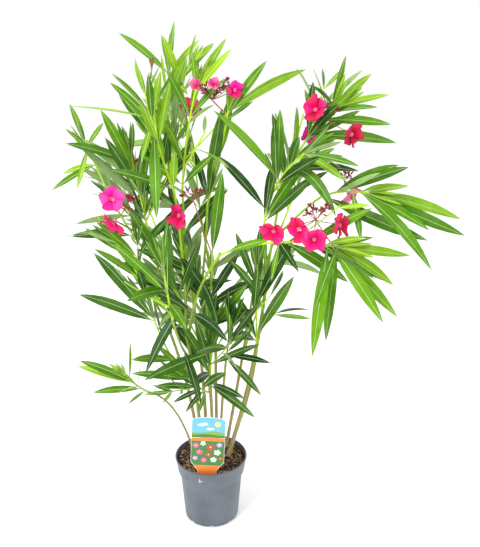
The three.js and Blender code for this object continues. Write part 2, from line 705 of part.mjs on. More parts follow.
// The whorls along a curve: the last is upright and young, the first is wide open and full-grown.
function whorlLeaves(curve, rule, random) {
  const leaves = [];
  const length = curve.getLength() * (1 - rule.bare);
  const whorls = rule.bare < 1 ? Math.max(1, Math.round(length / WHORL_STEP)) : 0;
  const opened = LOW_LEAF_ANGLE * (rule.spread ?? 1);
  for (let whorl = 0; whorl < whorls; whorl++) {
    const rise = whorls > 1 ? whorl / (whorls - 1) : 1;
    const share = THREE.MathUtils.lerp(rule.bare, LAST_WHORL, rise);
    const grown = LOW_LEAF_SIZE + MIDDLE_LEAF_GAIN * Math.sin(Math.PI * rise) - TOP_LEAF_LOSS * rise ** 2;
    const droop = LEAF_DROOP * (1 - TOP_DROOP_LOSS * rise);
    for (let k = 0; k < LEAVES_IN_WHORL; k++) {
      const around = rule.turn + WHORL_TURN * whorl + (360 / LEAVES_IN_WHORL) * k;
      leaves.push({
        share,
        bearing: around + scatter(random, BEARING_SCATTER),
        angle: THREE.MathUtils.lerp(opened, TOP_LEAF_ANGLE, rise) + scatter(random, ANGLE_SCATTER),
        size: rule.leaf * grown * (1 + scatter(random, SIZE_SCATTER)),
        droop: droop * (1 + scatter(random, DROOP_SCATTER)),
        faceTurn: scatter(random, FACE_SPREAD),
      });
    }
  }
  return leaves;
}

function leafCurve(stem, leaf, turned) {
  const direction = directionFrom(stem.curve, leaf.share, leaf.bearing + turned, leaf.angle);
  const root = rootOn(stem, leaf.share, direction);
  const control = root.clone().addScaledVector(direction, leaf.size / 2);
  const tip = root.clone().addScaledVector(direction, leaf.size);
  tip.z -= leaf.size * leaf.droop;
  return new THREE.QuadraticBezierCurve3(root, control, tip);
}

function bladeFacing(root, faceTurn) {
  const outwards = new THREE.Vector3(root.x * SIDEWAYS_SHARE, root.y - CROWN_MIDDLE_Y, 0).normalize();
  outwards.applyAxisAngle(UP, THREE.MathUtils.degToRad(faceTurn));
  outwards.z = FACE_UP;
  return outwards.normalize();
}

// Grows the whorls of a stem or twig, and leaves out each leaf that finds no room.
function addWhorls(mass, stem, rule, random) {
  for (const leaf of whorlLeaves(stem.curve, rule, random)) {
    LEAF_TRIES.some((turned) => {
      const curve = leafCurve(stem, leaf, turned);
      const facing = bladeFacing(curve.v0, leaf.faceTurn);
      return keepLeaf(mass, leafSolid(curve, facing, leaf.size), curve);
    });
  }
}

function addTwig(mass, number) {
  const { row, stem } = mass;
  const random = draws(row.seed + TWIG_RUN + number);
  const twigs = row.twigs ?? 1;
  const rise = TWIG_FIRST + (TWIG_REACH * (number + random())) / twigs;
  const side = {
    share: THREE.MathUtils.lerp(row.bare, 1, rise),
    size: row.leaf * (TWIG_SHORTEST + TWIG_LONGER * random()),
    bearing: 360 * random(),
    angle: TWIG_ANGLE,
    droop: -TWIG_RISE,
  };
  const radii = [TWIG_RADIUS, TWIG_RADIUS * TWIG_TAPER];
  const twig = { curve: leafCurve(stem, side, 0), radii, sides: TWIG_SIDES };
  const solid = taperingTube(twig, 2);
  if (!fits(solid, row.name)) return;
  keep(mass, solid);
  const rule = { bare: TWIG_BARE, turn: 360 * random(), leaf: row.leaf * TWIG_LEAF };
  addWhorls(mass, twig, rule, random);
}

// The leaves that make the crown's outline, each from its place on the stem to its own tip.
function addEdgeLeaves(mass) {
  const random = draws(mass.row.seed + EDGE_RUN);
  for (const [share, x, y, z, arched = EDGE_ARCH, rolled = 0] of mass.row.edge) {
    const faceTurn = THREE.MathUtils.degToRad(scatter(random, EDGE_FACE_SPREAD));
    const facing = EDGE_FACING.clone().applyAxisAngle(UP, faceTurn);
    EDGE_TRIES.some((moved) => {
      const tip = new THREE.Vector3(x, y + moved, z);
      const direction = tip.clone().sub(mass.stem.curve.getPoint(share)).normalize();
      const root = rootOn(mass.stem, share, direction);
      const arch = new THREE.Vector3(0, 0, root.distanceTo(tip) * arched);
      const curve = curveBetween(root, tip, arch);
      const upper = facing.clone().applyAxisAngle(direction, THREE.MathUtils.degToRad(rolled));
      return keepLeaf(mass, leafSolid(curve, upper, curve.getLength()), curve);
    });
  }
}

function stalkSolid(foot, tip, sag, steps) {
  const curve = curveBetween(foot, tip, DOWN.clone().multiplyScalar(sag));
  return taperingTube({ curve, radii: [STALK_RADIUS, STALK_RADIUS], sides: TWIG_SIDES }, steps);
}

function addBloom(mass) {
  const random = draws(mass.row.seed + BLOOM_RUN);
  const { head, open, buds } = mass.row.bloom;
  const headPoint = vector(head);
  keep(mass, stalkSolid(mass.stem.curve.getPoint(STALK_AT), headPoint, STALK_SAG, 2));
  for (const at of open) {
    const middle = vector(at);
    const facing = middle.clone().sub(headPoint).normalize();
    facing.y -= FLOWER_FORWARD * Math.sign(CROWN_MIDDLE_Y - middle.y);
    keep(mass, stalkSolid(headPoint, middle, STALK_SAG / 2, 1));
    keep(mass, flowerSolid(middle, facing.normalize()));
  }
  for (let i = 0; i < buds; i += BUDS_PER_SOLID) {
    const bearing = 2 * Math.PI * (i * BUD_TURN + random() * BUD_TURN_SCATTER);
    const lift = BUD_LEAST_LIFT + BUD_LIFT_SCATTER * random();
    const direction = new THREE.Vector3().setFromSphericalCoords(1, Math.PI / 2 - lift, bearing);
    direction.set(direction.z, direction.x, direction.y);
    const bud = budSolid(headPoint, direction, BUD_LENGTH * (1 + random()));
    if (fits(bud, mass.row.name)) keep(mass, bud);
  }
}

function lathe(profile) {
  return solidOf(new THREE.LatheGeometry(profile, POT_SIDES).rotateX(Math.PI / 2));
}

function potSolid() {
  const bandFoot = POT_HEIGHT - POT_BAND_HEIGHT;
  const profile = new THREE.Path();
  profile.moveTo(0, 0);
  profile.lineTo(POT_BASE_RADIUS - POT_EDGE_RADIUS, 0);
  profile.quadraticCurveTo(POT_BASE_RADIUS, 0, POT_BASE_RADIUS, POT_EDGE_RADIUS);
  profile.lineTo(POT_BODY_RADIUS, bandFoot - POT_BAND_STEP);
  profile.lineTo(POT_BAND_RADIUS, bandFoot);
  profile.lineTo(POT_RIM_RADIUS, POT_HEIGHT - POT_RIM_HEIGHT);
  profile.lineTo(POT_RIM_RADIUS, POT_HEIGHT);
  profile.lineTo(POT_RIM_RADIUS - POT_LIP, POT_HEIGHT);
  profile.lineTo(POT_BAND_RADIUS - POT_WALL, bandFoot + 1);
  profile.lineTo(POT_BODY_RADIUS - POT_WALL, bandFoot - POT_BAND_STEP + 1);
  profile.lineTo(POT_BASE_RADIUS - POT_WALL, POT_FLOOR);
  profile.lineTo(0, POT_FLOOR);
  return lathe(profile.getPoints(2));
}

// The soil follows the inside of the pot, which widens evenly from the band's foot to the rim.
function soilSolid() {
  const inside = POT_WALL + SOIL_CLEAR;
  const bandFoot = POT_HEIGHT - POT_BAND_HEIGHT;
  const widening = (POT_RIM_RADIUS - POT_LIP - POT_BAND_RADIUS + POT_WALL) / (POT_BAND_HEIGHT - 1);
  const topRadius = POT_BAND_RADIUS - inside + widening * (SOIL_TOP - bandFoot - 1);
  return lathe([
    new THREE.Vector2(0, POT_FLOOR + GAP),
    new THREE.Vector2(POT_BASE_RADIUS - inside - SOIL_CLEAR, POT_FLOOR + GAP),
    new THREE.Vector2(POT_BODY_RADIUS - inside - SOIL_CLEAR, bandFoot - POT_BAND_STEP + 1),
    new THREE.Vector2(POT_BAND_RADIUS - inside, bandFoot + 1 + SOIL_CLEAR),
    new THREE.Vector2(topRadius, SOIL_TOP),
    new THREE.Vector2(0, SOIL_TOP),
  ]);
}

// The label stands on the soil's top at its own origin, made larger all round by "grow".
function labelSolid(grow) {
  const half = LABEL_WIDTH / 2 + grow;
  const stake = STAKE_WIDTH / 2 + grow;
  const point = STAKE_POINT_WIDTH / 2 + grow;
  const top = LABEL_HEIGHT + grow;
  const side = top - LABEL_ARCH / 2;
  const shape = new THREE.Shape();
  shape.moveTo(-point, -STAKE_DEPTH - grow);
  shape.lineTo(point, -STAKE_DEPTH - grow);
  shape.lineTo(stake, -STAKE_TAPER_FROM);
  shape.lineTo(stake, STAKE_SHOULDER);
  shape.lineTo(half, LABEL_NECK);
  shape.lineTo(half, top - LABEL_CORNER);
  shape.quadraticCurveTo(half, side, half - LABEL_CORNER, side);
  shape.quadraticCurveTo(0, top + LABEL_ARCH / 2, LABEL_CORNER - half, side);
  shape.quadraticCurveTo(-half, side, -half, top - LABEL_CORNER);
  shape.lineTo(-half, LABEL_NECK);
  shape.lineTo(-stake, STAKE_SHOULDER);
  shape.lineTo(-stake, -STAKE_TAPER_FROM);
  shape.closePath();
  const depth = LABEL_THICKNESS + 2 * grow;
  const plate = new THREE.ExtrudeGeometry(shape, { depth, bevelEnabled: false, curveSegments: 5 });
  plate.translate(0, 0, -depth / 2);
  plate.rotateZ(-THREE.MathUtils.degToRad(LABEL_TILT));
  plate.rotateX(Math.PI / 2 - THREE.MathUtils.degToRad(LABEL_LEAN));
  plate.translate(LABEL_AT.x, LABEL_AT.y, SOIL_TOP);
  return solidOf(plate);
}

function addMesh(name, solid, finish) {
  const mesh = new THREE.Mesh(geometryOf(solid), new THREE.MeshStandardMaterial(FINISH[finish]));
  mesh.name = name;
  group.add(mesh);
}

const pot = potSolid();
const label = labelSolid(0);
place(pot, "pot");
place(label, "plant_label");
addMesh("pot", pot, "pot");
addMesh("soil", soilSolid().subtract(labelSolid(GAP)), "soil");
addMesh("plant_label", label, "label");

for (const row of LIMBS) {
  const { solid } = growLimb(row, row.radii, CANE_SIDES, LIMB_STEP);
  addMesh(row.name, solid, row.on ? "bough" : "cane");
}

// All stems and blossom find their room first, then the outline's leaves, then the other leaves.
const masses = MASSES.map((row) => {
  const radii = [row.radius, row.radius * STEM_TAPER];
  const { stem, solid } = growLimb(row, radii, STEM_SIDES, STEM_STEP);
  return { row, stem, pieces: [solid] };
});
masses.filter((mass) => mass.row.bloom).forEach(addBloom);
masses.forEach(addEdgeLeaves);
for (const mass of masses) {
  addWhorls(mass, mass.stem, mass.row, draws(mass.row.seed));
  for (let number = 0; number < (mass.row.twigs ?? 1); number++) addTwig(mass, number);
  addMesh(mass.row.name, fused(mass.pieces), mass.row.age);
}

export default group;
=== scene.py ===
"""Potted oleander: the dressed model and its stage, laid out as a Blender add-on.

The CAD frame gives the part's place and size. Lengths here are in millimetres until a mesh is
made. Limbs, stems, twigs and whorls grow by the same rule and the same draws as in the part's
source, and finer ones are grown between them.
"""

import math
from dataclasses import dataclass, field
from functools import cache

import bpy
import numpy as np
from bpy.props import FloatProperty, FloatVectorProperty, IntProperty, PointerProperty
from bpy.types import Operator, Panel, PropertyGroup
from mathutils import Matrix, Quaternion, Vector, noise
from mathutils.bvhtree import BVHTree


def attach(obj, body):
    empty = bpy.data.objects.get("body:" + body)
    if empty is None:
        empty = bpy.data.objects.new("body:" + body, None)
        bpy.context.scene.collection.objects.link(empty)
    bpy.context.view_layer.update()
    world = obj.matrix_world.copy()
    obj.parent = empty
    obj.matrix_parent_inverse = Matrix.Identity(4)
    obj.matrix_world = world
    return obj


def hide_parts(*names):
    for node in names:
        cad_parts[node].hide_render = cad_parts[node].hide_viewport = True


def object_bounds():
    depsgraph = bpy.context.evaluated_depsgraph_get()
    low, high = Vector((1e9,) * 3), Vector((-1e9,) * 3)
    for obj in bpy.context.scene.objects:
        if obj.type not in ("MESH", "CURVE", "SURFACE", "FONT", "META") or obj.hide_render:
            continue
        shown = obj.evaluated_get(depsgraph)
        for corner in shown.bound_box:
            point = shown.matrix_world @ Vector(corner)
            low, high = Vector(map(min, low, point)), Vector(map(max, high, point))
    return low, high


bl_info = {
    "name": "Potted oleander",
    "version": (1, 0, 0),
    "blender": (4, 5, 0),
    "location": "3D View > Sidebar > Oleander",
    "description": "Dresses the frame of a potted oleander with bark, leaves, blossom and a pot",
    "category": "Object",
}

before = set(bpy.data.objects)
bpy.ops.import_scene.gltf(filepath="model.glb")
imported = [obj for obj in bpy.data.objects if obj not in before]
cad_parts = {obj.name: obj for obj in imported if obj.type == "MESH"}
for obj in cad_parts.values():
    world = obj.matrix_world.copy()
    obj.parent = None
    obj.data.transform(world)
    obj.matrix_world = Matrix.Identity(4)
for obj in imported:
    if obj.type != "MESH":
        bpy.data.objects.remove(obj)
CAD_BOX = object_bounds()
NODES = sorted(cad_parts)

MM = 0.001
UP = Vector((0, 0, 1))
SIDEWAYS = Vector((0.96, 0.28, 0))
EDGE_FACING = Vector((0, -0.85, 0.53))
BLACK = (0, 0, 0)
WHITE = (1, 1, 1)
# One unit of a piece's pattern marks, in millimetres.
MARK = 100
# The run of draws behind every scatter, as in the part's source.
SEED_STEP = 7919
LEHMER_FACTOR = 48271
LEHMER_PRIME = 2147483647

# Soil and label, as in the part's source.
SOIL_TOP = 151
LABEL_WIDTH = 76
LABEL_HEIGHT = 161
LABEL_THICKNESS = 1
LABEL_CORNER = 14
LABEL_ARCH = 4
LABEL_NECK = 38
STAKE_SHOULDER = 14
STAKE_WIDTH = 44
STAKE_TAPER_FROM = 12
STAKE_POINT_WIDTH = 14
STAKE_DEPTH = 30
LABEL_AT = Vector((-8, -69, SOIL_TOP))
LABEL_LEAN = -4
LABEL_TILT = 3

# Growth, as in the part's source. The scatters are spans.
CANE_SUNK = 6
STEM_TAPER = 0.75
TWIG_ANGLE = 38
TWIG_RADIUS = 2
TWIG_TAPER = 0.8
TWIG_RISE = 0.08
TWIG_FIRST = 0.12
TWIG_REACH = 0.5
TWIG_SHORTEST = 0.6
TWIG_LONGER = 0.3
TWIG_BARE = 0.5
TWIG_LEAF = 0.9
LEAVES_IN_WHORL = 3
WHORL_STEP = 74
WHORL_TURN = 60
LAST_WHORL = 0.95
LOW_LEAF_ANGLE = 42
TOP_LEAF_ANGLE = 24
BEARING_SCATTER = 24
ANGLE_SCATTER = 16
SIZE_SCATTER = 0.24
LOW_LEAF_SIZE = 0.86
MIDDLE_LEAF_GAIN = 0.2
TOP_LEAF_LOSS = 0.36
LEAF_DROOP = 0.14
DROOP_SCATTER = 1.2
TOP_DROOP_LOSS = 0.6
LEAF_LOWEST = 185
BLADE_FREE_FROM = 0.12
EDGE_ARCH = 0.06
CROWN_MIDDLE_Y = 60
SIDEWAYS_SHARE = 0.4
FACE_UP = 0.55
FACE_SPREAD = 130
EDGE_FACE_SPREAD = 90
LEAF_TRIES = (0, 16, -16, 32)
EDGE_TRIES = (0, -16, 16, -32, 32)
FLOWER_FORWARD = 0.9
PETALS = 5
BUD_LENGTH = 15
BUD_TURN = 0.382
BUD_TURN_SCATTER = 0.1
BUD_LEAST_LIFT = 0.25
BUD_LIFT_SCATTER = 0.6
STALK_AT = 0.96
STALK_SAG = 4
BLOOM_RUN = 100
EDGE_RUN = 200
TWIG_RUN = 300

# Growth that only the dressed model has: whorls between the source's, more twigs, the young
# leaves at each shoot's end, and the older leaves along the limbs.
LOOKS_RUN = 50
FINER_RUN = 400
FINER_LOOKS_RUN = 401
FINER_TURN = 30
FINER_TWIGS = 1
FINER_TWIG_FROM = 0.6
FINER_TWIG_SIZE = 0.8
LONE_WHORL_RISE = 0.15
APEX_RUN = 500
APEX_RISE = 1.2
APEX_SHARE = 0.99
APEX_ANGLE = 13
APEX_SIZE = 0.42
APEX_DROOP = 0.02
LIMB_RUN = 900
LIMB_WHORL_STEP = 85
LIMB_LEAF_FROM_Z = 430
LIMB_LEAF_SIZE = 150
LIMB_LEAF_ANGLE = 56
LIMB_LEAF_DROOP = 0.24
REACH_SLACK = 5

# Flower heads of the dressed model: buds in groups on forked stalks, close together and upright
# where a head has no open flower, and each kind of stalk's radii at its foot and tip.
BUD_RUN = 150
BUDS_IN_GROUP = 6
BUD_FORK_LEAST = 0.7
BUD_FORK_GAIN = 0.16
BUD_LENGTHS = (0.7, 1.15)
BUD_RISE = 0.35
BUD_SPLAY = 1.6
BUD_SHARE = 0.62
BUD_OVERLAP = 0.6
BUD_RADII = (1, 1.5, 1.6, 1.4, 0.8)
CLOSED_FORK = (0.05, 0.3)
CLOSED_SPLAY = 0.14
CLOSED_RISE = 6
CLOSED_BUD = 1.6
HEAD_STALK = (1.5, 1.2)
FLOWER_STALK = (1, 0.8)
FORK_STALK = (0.8, 0.6)
FORK_SAG = 1
BUD_STALK = (0.6, 0.6)
BUD_STALK_SAG = 0.5

# Plain skins that stand for limbs, twigs and flowers in the tests of room.
LIMB_SKIN_SIDES = 6
LIMB_SKIN_STEP = 30
TWIG_SKIN = {"sides": 4, "steps": 4, "from_share": 0.15}
FLOWER_SKIN_SIDES = 10
FLOWER_SKIN_DEPTH = 10
FLOWER_SKIN_RADIUS = 22
FLOWER_SKIN_RISE = 3

# Windows of open sky in the crown: left, right, bottom and top, where the line from the camera
# through a leaf meets the upright plane through SKY_Y.
SKY_Y = -60
SKY = (
    (-400, -285, 700, 1200), (-400, -150, 1050, 1200), (-400, -235, 765, 835),
    (-215, -172, 925, 985), (-400, -195, 590, 695), (-400, -122, 440, 545), (-400, -228, 540, 585),
    (-400, -105, 250, 352), (-110, -60, 250, 335), (60, 125, 920, 1010), (50, 114, 780, 900),
    (40, 95, 725, 780), (155, 195, 940, 1000), (395, 600, 885, 1200), (275, 395, 875, 925),
    (150, 190, 775, 800), (405, 600, 560, 735), (130, 220, 440, 550), (160, 222, 550, 640),
    (115, 600, 250, 450), (225, 600, 250, 560), (30, 80, 715, 745), (150, 290, 1065, 1200),
    (-120, -90, 1060, 1200), (338, 372, 775, 800), (-180, -132, 1035, 1095), (-20, -4, 935, 965),
    (6, 18, 900, 960), (-60, -25, 1095, 1200), (12, 45, 700, 770), (-54, 48, 215, 300),
)
# Outline leaves with looks of their own, by their shoot and their place in its row: a turn about
# the leaf's own length, in degrees, and a step of tone.
EDGE_LOOKS = {
    ("leaves_low_left", 3): (74, 0), ("leaves_top_left", 2): (0, -2.6),
    ("leaves_right", 3): (0, 4), ("leaves_right_top", 1): (0, 3.4),
    ("leaves_left_low", 2): (0, -3), ("leaves_low_front", 3): (0, -1.6),
    ("leaves_far_left", 2): (-45, 3),
}
# Stems that show from the front, with no leaf before them within this room of their axis.
SHOWN_STEMS = (
    "bough_main", "bough_arch", "bough_blossom", "bough_right_out", "cane_right",
    "leaves_top_middle", "leaves_right_out",
)
SHOWN_STEPS = 20
SHOWN_FROM = 5
SHOWN_ROOM = 11
CAMERA_AT = Vector((69, -1600, 1232))
CAMERA_DOWN = 20.85
CAMERA_FOCUS = 787
PHOTO_HEIGHT = 547
SENSOR = 36

# A leaf's outline: the shares of its length and the half width there, as a share of the widest.
LEAF_STATIONS = (0, 0.05, 0.14, 0.27, 0.42, 0.57, 0.71, 0.83, 0.93)
LEAF_SPANS = (0.08, 0.13, 0.46, 0.82, 0.98, 1, 0.88, 0.62, 0.31)
# Each station has this many points, and these of the faces after it are the underside's halves.
LEAF_RING = 6
UNDERSIDES = (3, 5)
LEAF_ROOT_AT = 0.7
BLADE_LEAST = 0.25
LEAF_FOLD = 17
FOLD_SCATTER = 0.9
FOLD_ROOT = 1.35
FOLD_LOSS = 0.7
LEAF_TWIST = 44
# A leaf twisted by more degrees than this has one half painted a tone lighter or darker than the
# other: painted light and shade across its fold.
PAINTED_SHADING_TWIST = 9
RIB_ROOT = 0.62
RIB_TIP = 0.25
VEIN_SLANT = 0.55

# A petal in rows from the throat to the tip: share of its length, distance from the flower's
# middle, half width and height over the flower's plane. Its turns and tilts are in radians.
PETAL_ROWS = (0, 0.16, 0.34, 0.54, 0.72, 0.86, 0.95, 1)
PETAL_REACH = (3.6, 7.4, 11.6, 16.2, 20.2, 23.2, 25, 25.8)
PETAL_HALF = (3.6, 6.8, 10.4, 13.4, 14.6, 13.6, 10.4, 5.4)
PETAL_RISE = (-5, -2.2, 0.6, 2.4, 3, 2.4, 1.2, 0)
PETAL_COLUMNS = 6
PETAL_THICKNESS = 0.45
PETAL_SKEW = 2.2
PETAL_ROUND = 1.6
PETAL_OVERLAP = 3.4
PETAL_RIPPLE = 3.6
PETAL_WAVES = (1, 2.8)
PETAL_TILT = 0.6
PETAL_CUPS = (-0.05, 0.12)
PETAL_TURN_SCATTER = 0.16
FLOWER_SIZES = (0.9, 1)
FLOWER_NOD = 0.8
TINT_SPREAD = 2.8
# Flowers that are only half open, smaller open ones and pale ones, by the shoot they stand on.
HALF_OPEN = {"leaves_blossom": (0, 1)}
SMALL = {"leaves_blossom": (2,)}
PALE = {"leaves_blossom": (0, 1), "leaves_right_out": (0,)}
# The middle of a flower's tints, from 0, crimson, to 6, light pink, where no draw chooses it.
HUES = {
    ("leaves_front", 0): 6, ("leaves_right_top", 0): 1, ("leaves_right_top", 1): 0,
    ("leaves_right_front", 0): 2, ("leaves_right_front", 2): 2, ("leaves_right_front", 3): 0,
    ("leaves_middle", 0): 2,
}
SMALL_SIZE = 0.68
HALF_OPEN_FORWARD = 0.25
HALF_OPEN_SIZE = 0.46
HALF_OPEN_TILT = 2
FLOWERS_ON_HEAD = 10

# Round the throat stands a fringe. Behind the petals are the funnel and the calyx's sepals.
FRINGE_THREADS = 10
FRINGE_SUNK = 4.5
FRINGE_RISE = 0.9
FRINGE_LENGTH = 6
FRINGE_RADII = (0.9, 0.7)
FUNNEL_FOOT = 15
FUNNEL_HALF = 5
FUNNEL_LENGTH = 10.6
FUNNEL_RADII = (1.5, 4.1)
SEPAL_SPREAD = 0.35
SEPAL_LENGTH = 8.5
SEPAL_RADII = (1.3, 1.1, 0.6)

# A leaf's tone, from 0, dark, to LEAF_TONES - 1, lime: the middle and span of each age's tones.
LEAF_TONES = 8
TONES = {"old": (1, 3.6), "mid": (2.2, 4.8), "young": (3.2, 5.2)}
TONE_RISE = 1.4
TONE_LEVEL = 800
TONE_LOWEST = 560
TONE_STEP = 300
# Painted light: low leaves left of this are painted lighter by this step of tone.
PAINTED_SUN_LEFT_OF = -140
PAINTED_SUN_TONE = 2

# Bark: how fine its tubes are, how far the rings of old whorls stand out, and its other relief.
CANE_SIDES = 14
BOUGH_SIDES = 12
SHOOT_SIDES = 8
LIMB_STEP = 4
SHOOT_STEP = 7
SHOOT_POINT = 4
DOME = 0.6
CANE_RING = 0.55
BOUGH_RING = 0.35
SHOOT_RING = 0.3
SHOOT_NODE_STEP = 24
RING_WIDTH = 2.6
RING_LEAST = 0.5
RING_PHASE = 2.4
SCAR_POWER = 3
FOOT_FLARE = 1.4
FLARE_HEIGHT = 14
FLUTES = 5
FLUTE_DEPTH = 0.1
ROUGH_DEPTH = 0.3
ROUGH_SIZE = 7

# Where a mottled skin's patches pass from one colour to the other, and how uneven its gloss is.
PATCH_EDGES = (0.36, 0.64)
UNEVEN_GLOSS = 0.07


@dataclass
class Limb:
    """A cane or bough: its foot on the soil, or the limb it springs from and where."""

    name: str
    tip: tuple
    bow: tuple
    radii: tuple
    foot: tuple = ()
    on: str = ""
    at: float = 0


@dataclass
class Bloom:
    """A flower head with the places of its open flowers and the number of its buds."""

    head: tuple
    opened: tuple
    buds: int


@dataclass
class Mass:
    """One leafy shoot at the end of a limb.

    An outline leaf is its place on the stem, its tip, and sometimes its arch and its roll.
    """

    name: str
    age: str
    on: str
    at: float
    tip: tuple
    bow: tuple
    turn: float
    seed: int
    radius: float = 2.3
    leaf: float = 165
    bare: float = 0.05
    spread: float = 1
    twigs: int = 1
    edge: tuple = ()
    bloom: Bloom = None


LIMBS = (
    Limb("cane_left", (-95, -15, 515), (22, 15, 0), (4.2, 3), foot=(-32, 36)),
    Limb("cane_front", (-47, -62, 510), (5, 25, 0), (4.2, 3.2), foot=(-20, 12)),
    Limb("cane_back_left", (-55, 25, 680), (18, 25, 0), (4.4, 2.8), foot=(-12, 52)),
    Limb("cane_middle", (-14, 0, 610), (6, 18, 0), (4.2, 2.8), foot=(4, 32)),
    Limb("cane_low_front", (0, -46, 372), (6, 18, 0), (3.4, 2.8), foot=(4, -2)),
    Limb("cane_short", (38, -34, 430), (-4, 18, 0), (3.6, 2.6), foot=(20, 14)),
    Limb("cane_right", (130, -4, 640), (24, 18, -24), (5.6, 3.4), foot=(38, 10)),
    Limb("cane_back", (10, 142, 490), (0, -32, 0), (4.2, 3), foot=(12, 62)),
    Limb("cane_back_right", (100, 132, 520), (0, -26, 0), (4, 3), foot=(34, 48)),
    Limb("cane_low_left", (-138, -52, 360), (16, 4, 72), (2.6, 1.9), foot=(-40, 18)),
    Limb("cane_thin_right", (112, 18, 470), (16, 10, -24), (2.8, 2), on="cane_right", at=0.16),
    Limb("bough_left", (-138, -50, 625), (4, 4, -6), (2.6, 2.2), on="cane_left", at=0.99),
    Limb("bough_left_up", (-122, -2, 680), (14, 14, 0), (2.8, 2.3), on="cane_left", at=0.9),
    Limb("bough_far_left", (-214, 0, 822), (-14, 0, -8), (2.4, 1.9), on="bough_left_up", at=0.8),
    Limb("bough_main", (-62, -80, 830), (12, -6, 0), (3.2, 2.6), on="cane_front", at=0.99),
    Limb("bough_arch", (32, -124, 712), (-28, -18, 32), (3, 2.6), on="cane_front", at=0.9),
    Limb("bough_top", (-86, 14, 880), (4, 8, 0), (2.8, 2.3), on="cane_back_left", at=0.99),
    Limb("bough_top_middle", (-50, -18, 820), (-4, 20, 0), (2.6, 2.3), on="cane_back_left", at=0.9),
    Limb("bough_blossom", (0, 6, 780), (4, 6, 0), (2.8, 2.3), on="cane_middle", at=0.99),
    Limb("bough_right_up", (160, 22, 820), (-2, 10, 0), (3, 2.4), on="cane_right", at=0.99),
    Limb("bough_right", (118, -40, 745), (-2, -12, 0), (2.8, 2.3), on="cane_right", at=0.92),
    Limb("bough_right_out", (238, -36, 806), (8, 0, 22), (2.6, 2.3), on="bough_right_up", at=0.3),
    Limb("bough_back_top", (-24, 158, 720), (0, 14, 0), (2.8, 2.3), on="cane_back", at=0.99),
    Limb("bough_back_left", (-118, 212, 620), (-10, 10, -24), (2.6, 2.2), on="cane_back", at=0.84),
    Limb(
        "bough_back_right", (172, 190, 680), (-6, 8, -6), (2.8, 2.2), on="cane_back_right", at=0.99
    ),
    Limb("bough_front", (-66, -168, 590), (0, -18, -24), (2.8, 2.3), on="cane_front", at=0.8),
)

